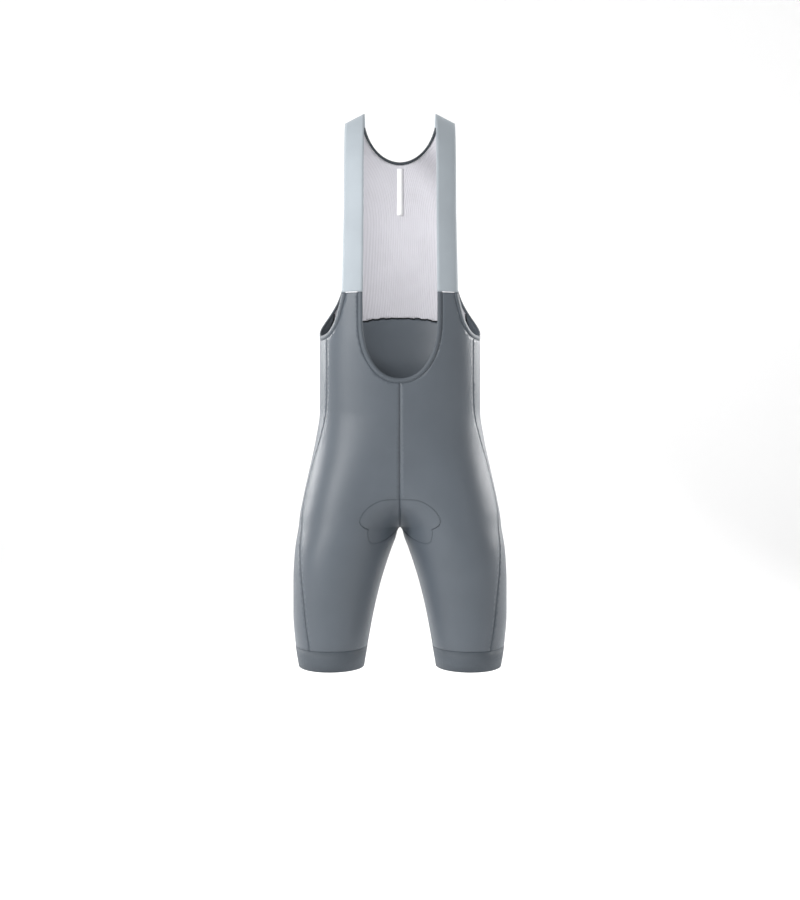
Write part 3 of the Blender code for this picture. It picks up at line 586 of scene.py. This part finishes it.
def seam_allowance(points, normals, count, keep=()):
    """The points with their outline, the first count of them, drawn in by half of the gap
    between sewn pieces, but for the outline points in keep."""
    points = points.copy()
    loop, n = points[:count].copy(), normals[:count]
    ahead = unit(np.roll(loop, -1, axis=0) - loop)
    behind = np.roll(ahead, 1, axis=0)
    left, right = unit(np.cross(n, ahead)), unit(np.cross(n, behind))
    bisector = unit(left + right)
    miter = np.maximum(np.sum(bisector * left, -1, keepdims=True), 0.45)
    move = bisector * SEAM_GAP / 2 / miter
    move[list(keep)] = 0
    points[:count] += move
    return points


def wall(sheets, thickness, lift=0.0, thin_edge=None):
    """Vertices and faces of a closed wall: the sheets' points moved out by lift, and the same
    points moved in by the thickness. Sheets join where their points meet. thin_edge gives
    the thickness at the wall's free edges."""
    index, points, normals, faces = {}, [], [], []
    for sheet in sheets:
        ids = {}
        for v in sorted({v for face in sheet.faces for v in face}):
            key = tuple(np.round(sheet.points[v] / JOIN_DISTANCE).astype(int))
            if key not in index:
                index[key] = len(points)
                points.append(sheet.points[v])
                normals.append(np.zeros(3))
            ids[v] = index[key]
            normals[index[key]] = normals[index[key]] + sheet.normals[v]
        faces += [[ids[v] for v in face] for face in sheet.faces]
    points, normals = np.array(points), unit(np.array(normals))
    edges = {(a, b) for face in faces for a, b in zip(face, face[1:] + face[:1])}
    rim = sorted((a, b) for a, b in edges if (b, a) not in edges)
    depth = np.full(len(points), thickness)
    if thin_edge is not None:
        depth[sorted({v for edge in rim for v in edge})] = thin_edge
    outer = points + normals * lift
    inner = points + normals * (lift - depth[:, None])
    count = len(points)
    solid = faces + [[v + count for v in reversed(face)] for face in faces]
    solid += [[b, a, a + count, b + count] for a, b in rim]
    return np.concatenate((outer, inner)), solid


def joined(*lines):
    """Lines of form points end to end, each without the point that it shares with the last."""
    return np.concatenate([line[k > 0:] for k, line in enumerate(lines)])


def outline_of(*lines):
    """A closed outline from lines end to end, without repeating its first point."""
    return joined(*lines)[:-1]


def pad_mark(face, outline, centre):
    """The pad's edge on one face, from the centre line to the inseam, ending on seam points."""
    start = 0.0 if face == "front" else 1.0
    rim = [(share_at(face, x * MM, z * MM) if x else start, z * MM) for x, z in outline]
    rim[-1] = (start, rim[-1][1])
    for k in (0, -1):
        rim[k] = tuple(centre[np.argmin(np.abs(centre[:, 1] - rim[k][1]))])
    return resampled(flowing(rim), PAD_CELLS)


def front_sheets(seams):
    """The front panel of the right half, and the part of it that the pad lies on."""
    down = joined(seams["centre_front"], seams["inseam"])
    outline = outline_of(down, seams["gripper_front"], seams["side"][::-1],
                         seams["armhole"][0][::-1], seams["strap_front"][::-1],
                         seams["scoop"][::-1])
    mark = pad_mark("front", PAD_FRONT, down)
    chart, faces = cut_panel(outline, 0.0, [mark])
    points, normals = surface(chart)
    pad_faces = faces_inside(chart, faces, mark, down)
    sewn = seam_allowance(points, normals, len(outline))
    sewn[CENTRE_CELLS, 1] -= SEAM_GAP
    return Sheet(sewn, normals, faces), Sheet(points, normals, pad_faces)


def back_sheets(seams):
    """The right half of the back, and the part of it that the pad lies on."""
    inseam = seams["inseam"] + (1, 0)
    up = joined(inseam[::-1], seams["centre_back"][::-1])
    outline = outline_of(up, seams["mesh_hem"][::-1], seams["armhole"][1][::-1], seams["side"],
                         seams["gripper_back"])
    mark = pad_mark("back", PAD_BACK, joined(seams["centre_back"], inseam))
    chart, faces = cut_panel(outline, 1.0, [mark])
    points, normals = surface(chart)
    pad_faces = faces_inside(chart, faces, mark, up[::-1])
    crotch = len(inseam) - 1
    top = len(up) - 1
    sewn = seam_allowance(points, normals, len(outline), range(crotch, top))
    sewn[crotch:top + 1, 0] = 0
    sewn[crotch, 1] += SEAM_GAP
    return Sheet(sewn, normals, faces), Sheet(points, normals, pad_faces)


def faces_inside(chart, faces, mark, centre):
    """The faces between a mark and the stretch of the centre line between its ends."""
    ends = sorted((mark[0, 1], mark[-1, 1]))
    stretch = centre[(centre[:, 1] > ends[0]) & (centre[:, 1] < ends[1])]
    if mark[0, 1] > mark[-1, 1]:
        stretch = stretch[np.argsort(stretch[:, 1])]
    middles = np.array([chart[face].mean(0) for face in faces])
    inside = inside_outline(middles, np.concatenate((mark, stretch)))
    return [face for face, kept in zip(faces, inside) if kept]


def mesh_sheet(seams):
    """The right half of the mesh back."""
    outline = outline_of(seams["mesh_hem"], seams["mesh_centre"][::-1], seams["neck"][::-1],
                         seams["strap_back"][::-1], seams["armhole"][2][::-1])
    chart, faces = cut_panel(outline, 1.0)
    points, normals = surface(chart)
    first = len(seams["mesh_hem"]) - 1
    last = first + MESH_ARM_CELLS
    sewn = seam_allowance(points, normals, len(outline), range(first + 1, last))
    sewn[first:last + 1, 0] = 0
    return Sheet(sewn, normals, faces)


def strip_sheet(edge, seam):
    """Points and normals of a binding between its free edge and its seam, in two rows."""
    outline = np.concatenate((seam, edge[::-1]))
    points, normals = surface(outline)
    sewn = seam_allowance(points, normals, len(outline))
    sewn = np.stack((sewn[len(seam):][::-1], sewn[:len(seam)]))
    normals = np.stack((normals[len(seam):][::-1], normals[:len(seam)]))
    return sewn, normals


def gripper_sheet(seams):
    """The gripper's ring, from its seam down to the hem."""
    seam = joined(seams["gripper_front"], seams["gripper_back"])
    rows = [seam - (0, SEAM_GAP / 2), seam - (0, GRIPPER_HEIGHT / 2), seam - (0, GRIPPER_HEIGHT)]
    points, normals = surface(np.array(rows))
    points[:, -1], normals[:, -1] = points[:, 0], normals[:, 0]
    return grid_sheet(points, normals)


def strap_sheet():
    """A strap from its seam on the back, over the shoulder, down to its seam on the front."""
    across = np.linspace(0, 1, STRAP_ACROSS + 1)
    middle = (FORM[-1, 0, 1] + FORM[-1, -1, 1]) / 2
    rows = []
    for turn in np.linspace(np.pi / 2 + STRAP_END_TURN, 0, STRAP_ARCH_CELLS + 1):
        x = STRAP_INNER[1] + (STRAP_OUTER[1] - STRAP_INNER[1]) * across
        face = "back" if turn > np.pi / 2 else "front"
        base = np.array([on_form(share_at(face, u, SHOULDER_BASE), SHOULDER_BASE) for u in x])
        y = middle + (base[:, 1] - middle) * abs(np.cos(turn))
        z = SHOULDER_BASE + (strap_height(x) - SHOULDER_BASE) * np.sin(turn)
        rows.append(np.stack((x, y, z), 1))
    for z in np.linspace(SHOULDER_BASE, STRAP_SEAM, STRAP_FRONT_CELLS + 1)[1:]:
        fall = (SHOULDER_BASE - z) / (SHOULDER_BASE - STRAP_SEAM)
        inner = STRAP_INNER[1] + (STRAP_INNER[0] - STRAP_INNER[1]) * fall
        outer = STRAP_OUTER[1] + (STRAP_OUTER[0] - STRAP_OUTER[1]) * fall
        x = inner + (outer - inner) * across
        rows.append(np.array([on_form(share_at("front", u, z), z) for u in x]))
    points = np.array(rows)
    down, right = np.gradient(points, axis=0), np.gradient(points, axis=1)
    normals = unit(np.cross(down, right))
    points[0] += unit(down[0]) * SEAM_GAP / 2
    points[-1] -= unit(down[-1]) * SEAM_GAP / 2
    return grid_sheet(points, normals)


def label_sheet():
    """The half of the label strip at positive x."""
    rows = []
    for z in np.linspace(LABEL_TOP, LABEL_BOTTOM, LABEL_CELLS + 1):
        rows.append([(share_at("back", LABEL_HALF_WIDTH, z), z), (1.0, z)])
    return grid_sheet(*surface(np.array(rows)))


def binding(edge, seam, centre=None):
    """A binding's half, with its column at centre put on the centre plane."""
    points, normals = strip_sheet(edge, seam)
    if centre is not None:
        points[:, centre, 0] = 0
        normals[:, centre, 0] = 0
    return grid_sheet(points, normals)


# ---------------------------------------------------------------- materials

def principled(name, colour, roughness, sheen=0.0, sheen_roughness=0.5, specular=0.5):
    """A Principled material and its nodes, with constants set on the shader's own sockets."""
    found = bpy.data.materials.new(name)
    found.use_nodes = True
    nodes, links = found.node_tree.nodes, found.node_tree.links
    shader = nodes["Principled BSDF"]
    shader.inputs["Base Color"].default_value = (*colour, 1)
    shader.inputs["Roughness"].default_value = roughness
    shader.inputs["Sheen Weight"].default_value = sheen
    shader.inputs["Sheen Roughness"].default_value = sheen_roughness
    shader.inputs["Sheen Tint"].default_value = (*colour, 1)
    shader.inputs["Specular IOR Level"].default_value = specular
    return found, nodes, links, shader


def math_node(nodes, links, operation, first, second=None):
    node = nodes.new("ShaderNodeMath")
    node.operation = operation
    for socket, value in zip(node.inputs, (first, second)):
        if value is None:
            continue
        if isinstance(value, (int, float)):
            socket.default_value = value
        else:
            links.new(value, socket)
    return node.outputs[0]


def weave_height(nodes, links, pitch, turn, rib):
    """Height of a diagonal knit of the given pitch: ribs along one slant, crossed by stitches."""
    position = nodes.new("ShaderNodeNewGeometry").outputs["Position"]
    split = nodes.new("ShaderNodeSeparateXYZ")
    links.new(position, split.inputs[0])
    across = math_node(nodes, links, "ADD", split.outputs["X"], split.outputs["Y"])
    k = 2 * np.pi / pitch
    a = math_node(nodes, links, "MULTIPLY", across, k * np.cos(turn))
    b = math_node(nodes, links, "MULTIPLY", split.outputs["Z"], k * np.sin(turn))
    wave_one = math_node(nodes, links, "SINE", math_node(nodes, links, "ADD", a, b))
    wave_two = math_node(nodes, links, "SINE", math_node(nodes, links, "SUBTRACT", a, b))
    product = math_node(nodes, links, "MULTIPLY", wave_one, wave_two)
    ribs = math_node(nodes, links, "MULTIPLY", wave_one, rib)
    return math_node(nodes, links, "ADD", product, ribs)


def mottled_and_knit_shade(nodes, links, shader, colour, spread, scale, height=None, hollow_shade_share=0.0):
    """A base colour that varies softly over the cloth, and a little with the knit's height as painted
    shade: darker in the knit's hollows, lighter on its ridges.
    """
    noise = nodes.new("ShaderNodeTexNoise")
    noise.inputs["Scale"].default_value = scale
    noise.inputs["Detail"].default_value = 4
    links.new(nodes.new("ShaderNodeNewGeometry").outputs["Position"], noise.inputs["Vector"])
    ramp = nodes.new("ShaderNodeValToRGB")
    ramp.color_ramp.elements[0].position, ramp.color_ramp.elements[1].position = 0.3, 0.7
    ramp.color_ramp.elements[0].color = (*(c * (1 - spread) for c in colour), 1)
    ramp.color_ramp.elements[1].color = (*(c * (1 + spread) for c in colour), 1)
    source = noise.outputs["Fac"]
    # Painted shade: the knit's height darkens the colour in its hollows and lightens it on its ridges.
    if height is not None:
        source = math_node(nodes, links, "ADD", source, math_node(nodes, links, "MULTIPLY", height,
                                                                  hollow_shade_share))
    links.new(source, ramp.inputs["Fac"])
    links.new(ramp.outputs["Color"], shader.inputs["Base Color"])


def bumped(nodes, links, shader, height, strength, distance):
    bump = nodes.new("ShaderNodeBump")
    bump.inputs["Strength"].default_value = strength
    bump.inputs["Distance"].default_value = distance
    links.new(height, bump.inputs["Height"])
    links.new(bump.outputs["Normal"], shader.inputs["Normal"])


# Every knit's colour carries a little painted shade in its hollows, on top of its soft random tone.
def knit_material(name, colour, roughness, pitch, turn=0.9, rib=0.4, strength=0.3, spread=0.05,
                  hollow_shade_share=0.05, sheen=0.3, sheen_roughness=0.45, specular=0.4, depth=0.0002):
    found, nodes, links, shader = principled(name, colour, roughness, sheen, sheen_roughness,
                                             specular=specular)
    height = weave_height(nodes, links, pitch, turn, rib)
    mottled_and_knit_shade(nodes, links, shader, colour, spread, 14, height, hollow_shade_share)
    bumped(nodes, links, shader, height, strength, depth)
    return found


MATERIALS = {
    "body_fabric": knit_material("body_knit", (0.070, 0.084, 0.101), 0.42, 0.9 * MM, strength=0.25,
                                 sheen=0.5, sheen_roughness=0.35, specular=0.55),
    # The mesh's colour carries strong painted shade: its holes are painted darker and its ridges
    # lighter.
    "mesh_fabric": knit_material("mesh_knit", (0.58, 0.57, 0.61), 0.85, 3.2 * MM, turn=1.05, rib=0.0,
                                 strength=0.8, spread=0.05, hollow_shade_share=0.25, depth=0.0005),
    "strap_elastic": knit_material("strap_knit", (0.31, 0.345, 0.375), 0.6, 1.2 * MM, turn=0.3, rib=0.6,
                                   strength=0.3),
    "binding_fabric": knit_material("binding_knit", (0.070, 0.083, 0.098), 0.5, 0.8 * MM, turn=1.4,
                                    strength=0.3),
    "neck_tape": knit_material("neck_knit", (0.035, 0.043, 0.052), 0.6, 0.8 * MM),
    "gripper_elastic": knit_material("gripper_knit", (0.062, 0.074, 0.088), 0.6, 1.4 * MM, turn=0.25,
                                     rib=0.8, strength=0.5),
    "pad_foam": knit_material("pad_knit", (0.05, 0.055, 0.06), 0.85, 1.6 * MM, strength=0.5),
    "label_tape": knit_material("label_weave", (0.85, 0.85, 0.86), 0.6, 0.6 * MM),
}
DARK_THREAD = knit_material("dark_thread", (0.035, 0.045, 0.055), 0.6, 0.7 * MM)
WHITE_THREAD = knit_material("white_thread", (0.8, 0.8, 0.82), 0.6, 0.7 * MM)
BLACK_THREAD = knit_material("black_thread", (0.006, 0.007, 0.009), 0.8, 0.7 * MM)


# ---------------------------------------------------------------- making pieces

def make_piece(name, solid, look):
    vertices, faces = solid
    mesh = bpy.data.meshes.new(name)
    mesh.from_pydata(vertices.tolist(), [], faces)
    mesh.materials.append(look)
    mesh.shade_smooth()
    piece = bpy.data.objects.new(name, mesh)
    bpy.context.scene.collection.objects.link(piece)
    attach(piece, "root")
    return piece


def cloth_piece(name, sheets, thickness, lift, slot_name, node, thin_edge=None):
    piece = make_piece(name + "_cloth", wall(sheets, thickness, lift, thin_edge), MATERIALS[slot_name])
    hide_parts(node)
    return piece


def cord_along(line, lift, half_width, half_height, sides=6):
    """A fine ridge of thread laid along a line of form points."""
    points, normals = surface(line)
    tangent = unit(np.gradient(points, axis=0))
    aside = unit(np.cross(normals, tangent))
    turns = np.linspace(0, 2 * np.pi, sides, endpoint=False)
    rings = [points + normals * (lift + half_height * np.cos(t)) + aside * half_width * np.sin(t)
             for t in turns]
    vertices = np.stack(rings, 1).reshape(-1, 3)
    count = len(points)
    faces = []
    for i in range(count - 1):
        for k in range(sides):
            j = (k + 1) % sides
            faces.append([i * sides + k, i * sides + j, (i + 1) * sides + j, (i + 1) * sides + k])
    faces.append([k for k in range(sides)][::-1])
    faces.append([(count - 1) * sides + k for k in range(sides)])
    return vertices, faces


def both_sides(solid):
    """A solid and its mirror image in one mesh."""
    vertices, faces = solid
    count = len(vertices)
    flipped = [[v + count for v in reversed(face)] for face in faces]
    return np.concatenate((vertices, vertices * (-1, 1, 1))), faces + flipped


# ---------------------------------------------------------------- the garment

seams = all_seams()
front, front_pad = front_sheets(seams)
back, back_pad = back_sheets(seams)
mesh = mesh_sheet(seams)
strap = strap_sheet()
gripper = gripper_sheet(seams)
armhole = binding(joined(*seams["armhole_edge"]), joined(*seams["armhole"]))
scoop = binding(seams["scoop_edge"], seams["scoop"], centre=0)
neck = binding(seams["neck_edge"], seams["neck"], centre=-1)
label = label_sheet()

# How far each cloth is taken to be stretched as worn, across and along. Its flat cut is its
# worn size over these. They are assumed, typical of such cloths, and not measured.
STRETCH = {"body_fabric": (1.07, 1.07), "mesh_fabric": (1.04, 1.04), "strap_elastic": (1.0, 1.08),
           "gripper_elastic": (1.0, 1.05), "binding_fabric": (1.0, 1.05), "neck_tape": (1.0, 1.05),
           "label_tape": (1.0, 1.0)}
NARROWEST_FLAT = 10 * MM    # a flat cut is never stated narrower than this


def triangles_of(sheets):
    found = []
    for sheet in sheets:
        points = np.asarray(sheet.points)
        for face in sheet.faces:
            for k in range(1, len(face) - 1):
                found.append(points[[face[0], face[k], face[k + 1]]])
    return np.array(found)


def worn_area(sheets):
    corners = triangles_of(sheets)
    cross = np.cross(corners[:, 1] - corners[:, 0], corners[:, 2] - corners[:, 0])
    return float(np.linalg.norm(cross, axis=1).sum() / 2)


def widest_girth(sheets):
    """The longest level cut through a panel, measured along the cloth."""
    corners = triangles_of(sheets)
    widest = 0.0
    for z in np.linspace(corners[..., 2].min(), corners[..., 2].max(), 62)[1:-1]:
        crossed = corners[(corners[..., 2].min(1) < z) & (corners[..., 2].max(1) > z)]
        total = 0.0
        for triangle in crossed:
            ends = []
            for k in range(3):
                start, end = triangle[k], triangle[(k + 1) % 3]
                if (start[2] - z) * (end[2] - z) < 0:
                    ends.append(start + (z - start[2]) / (end[2] - start[2]) * (end - start))
            if len(ends) == 2:
                total += float(np.linalg.norm(ends[0] - ends[1]))
        widest = max(widest, total)
    return widest


def line_length(line):
    points, _ = surface(line)
    return float(np.linalg.norm(np.diff(points, axis=0), axis=1).sum())


def panel_cut(slot_name, sheets):
    """Flat width, length and area of a panel, from its worn girth, height and area."""
    across, along_it = STRETCH[slot_name]
    heights = np.concatenate([np.asarray(sheet.points)[:, 2] for sheet in sheets])
    return (widest_girth(sheets) / across, float(np.ptp(heights)) / along_it,
            worn_area(sheets) / (across * along_it))


def strip_cut(slot_name, sheets, length):
    """Flat width, length and area of a strip of the given worn length."""
    across, along_it = STRETCH[slot_name]
    area = worn_area(sheets)
    return (max(area / length / across, NARROWEST_FLAT), length / along_it, area / (across * along_it))


armhole_length = line_length(joined(*seams["armhole_edge"]))
gripper_length = line_length(joined(seams["gripper_front"], seams["gripper_back"]))
strap_length = worn_area([strap]) / (STRAP_OUTER[0] - STRAP_INNER[0])
PAIRS = (("front", front, BODY_WALL, 0.0, "body_fabric", panel_cut("body_fabric", [front])),
         ("strap", strap, STRAP_WALL, 0.0, "strap_elastic",
          strip_cut("strap_elastic", [strap], strap_length)),
         ("armhole_binding", armhole, BINDING_WALL, BINDING_PROUD, "binding_fabric",
          strip_cut("binding_fabric", [armhole], armhole_length)),
         ("gripper", gripper, GRIPPER_WALL, BINDING_PROUD, "gripper_elastic",
          strip_cut("gripper_elastic", [gripper], gripper_length)))
for name, sheet, thickness, lift, slot_name, cut in PAIRS:
    cloth_piece(name + "_left", [sheet], thickness, lift, slot_name, name + "_left")
    cloth_piece(name + "_right", [sheet.mirrored()], thickness, lift, slot_name, name + "_right")

WHOLE = (("back", back, BODY_WALL, 0.0, "body_fabric", None),
         ("mesh_back", mesh, MESH_WALL, 0.0, "mesh_fabric", None),
         ("scoop_binding", scoop, BINDING_WALL, BINDING_PROUD, "binding_fabric",
          2 * line_length(seams["scoop_edge"])),
         ("neck_binding", neck, BINDING_WALL, BINDING_PROUD, "neck_tape",
          2 * line_length(seams["neck_edge"])),
         ("label", label, LABEL_WALL, -MESH_WALL - SEAM_GAP, "label_tape",
          float(np.ptp(np.asarray(label.points)[:, 2]))))
for name, sheet, thickness, lift, slot_name, length in WHOLE:
    sheets = [sheet, sheet.mirrored()]
    cut = strip_cut(slot_name, sheets, length) if length else panel_cut(slot_name, sheets)
    cloth_piece(name, sheets, thickness, lift, slot_name, name)

halves = [front_pad, back_pad, front_pad.mirrored(), back_pad.mirrored()]
pad = cloth_piece("pad", halves, PAD_WALL, -BODY_WALL - SEAM_GAP, "pad_foam", "pad", PAD_EDGE)


def wavy(line, cells, height, waves):
    """A seam line with an uneven wave in its height."""
    fine = resampled(line, cells)
    along_it = np.linspace(0, 1, len(fine))
    wave = np.sin(2 * np.pi * waves * along_it) + 0.5 * np.sin(2 * np.pi * 2.7 * waves * along_it + 1)
    fine[:, 1] += height * wave * np.minimum(1, 8 * np.minimum(along_it, 1 - along_it))
    return fine


def zigzag(line, cells, height):
    """A line whose points step up and down in turn."""
    fine = resampled(line, cells)[:-1]
    fine[1::2, 1] += height
    fine[::2, 1] -= height
    return fine


OVERLOCK_LIFT = -BODY_WALL - 0.4 * MM    # it lies inside, and shows through the scoop
OVERLOCK_WAVE = 0.7 * MM
PAD_ZIGZAG = 1.1 * MM
pad_rim = pad_mark("front", PAD_FRONT, seams["centre_front"])
gripper_seam = joined(seams["gripper_front"], seams["gripper_back"])

# Name, line, lift, half-width, half-height, sides, material and slot of each thread.
THREADS = (
    ("side_seam", seams["side"], -0.2 * MM, 0.7 * MM, 0.5 * MM, 6, DARK_THREAD, "body_fabric"),
    ("inseam", seams["inseam"], -0.2 * MM, 0.7 * MM, 0.5 * MM, 6, DARK_THREAD, "body_fabric"),
    ("gripper_seam", gripper_seam, -0.2 * MM, 0.7 * MM, 0.5 * MM, 6, DARK_THREAD, "body_fabric"),
    ("mesh_overlock", wavy(seams["mesh_hem"], 90, OVERLOCK_WAVE, 9), OVERLOCK_LIFT, 1.5 * MM,
     0.4 * MM, 6, BLACK_THREAD, "mesh_fabric"),
    ("strap_stitch", seams["strap_front"], 0.1 * MM, 0.8 * MM, 0.4 * MM, 6, WHITE_THREAD,
     "strap_elastic"),
    ("pad_stitch", zigzag(pad_rim, 110, PAD_ZIGZAG), 0.05 * MM, 0.4 * MM, 0.3 * MM, 4, DARK_THREAD,
     "body_fabric"))
for name, line, lift, half_width, half_height, sides, look, slot_name in THREADS:
    solid = both_sides(cord_along(line, lift, half_width, half_height, sides))
    make_piece(name, solid, look)


# ---------------------------------------------------------------- stage, camera and light

FLOOR_Z, SWEEP_START_Y, SWEEP_RADIUS, SWEEP_HALF_WIDTH, SWEEP_TOP = -1.10, 2.6, 1.2, 7.0, 4.0
CAMERA_PLACE, CAMERA_LENS, SENSOR_WIDTH = (0, -3.0, -0.563), 70.6, 36
GARMENT_MIDDLE = (0, 0, -0.5)
WORLD_STRENGTH = 0.62
# Name, place, size and power of each light.
LIGHTS = (("key", (-2.4, -2.0, 0.9), 0.9, 105), ("fill", (2.4, -2.0, 0.0), 1.6, 7),
          ("rim_left", (-2.2, 1.6, 0.2), 0.9, 40), ("rim_right", (2.2, 1.6, 0.2), 0.9, 55))


def build_stage():
    profile = [(-SWEEP_HALF_WIDTH, FLOOR_Z), (SWEEP_START_Y, FLOOR_Z)]
    profile += [(SWEEP_START_Y + SWEEP_RADIUS * np.sin(t), FLOOR_Z + SWEEP_RADIUS * (1 - np.cos(t)))
                for t in np.linspace(0, np.pi / 2, 17)[1:]]
    profile.append((SWEEP_START_Y + SWEEP_RADIUS, SWEEP_TOP))
    vertices = [(x, y, z) for x in (-SWEEP_HALF_WIDTH, SWEEP_HALF_WIDTH) for y, z in profile]
    n = len(profile)
    faces = [(k, k + n, k + 1 + n, k + 1) for k in range(n - 1)]
    mesh_data = bpy.data.meshes.new("studio_sweep")
    mesh_data.from_pydata(vertices, [], faces)
    mesh_data.shade_smooth()
    look, _, _, _ = principled("studio_white", (0.98, 0.98, 0.98), 0.9)
    mesh_data.materials.append(look)
    sweep = bpy.data.objects.new("studio_sweep", mesh_data)
    bpy.context.scene.collection.objects.link(sweep)


def area_light(name, place, size, power):
    data = bpy.data.lights.new(name, "AREA")
    data.shape, data.size, data.energy = "DISK", size, power
    lamp = bpy.data.objects.new(name, data)
    lamp.location = place
    lamp.rotation_euler = (Vector(GARMENT_MIDDLE) - Vector(place)).to_track_quat("-Z", "Y").to_euler()
    bpy.context.scene.collection.objects.link(lamp)


def build_camera():
    data = bpy.data.cameras.new("camera")
    data.sensor_width, data.lens = SENSOR_WIDTH, CAMERA_LENS
    camera = bpy.data.objects.new("camera", data)
    camera.location, camera.rotation_euler = CAMERA_PLACE, (np.pi / 2, 0, 0)
    bpy.context.scene.collection.objects.link(camera)
    bpy.context.scene.camera = camera


def build_light():
    world = bpy.data.worlds.new("studio")
    world.use_nodes = True
    world.node_tree.nodes["Background"].inputs["Color"].default_value = (1, 1, 1, 1)
    world.node_tree.nodes["Background"].inputs["Strength"].default_value = WORLD_STRENGTH
    bpy.context.scene.world = world
    for light in LIGHTS:
        area_light(*light)
    bpy.context.scene.view_settings.view_transform = "Standard"


build_stage()
build_camera()
build_light()
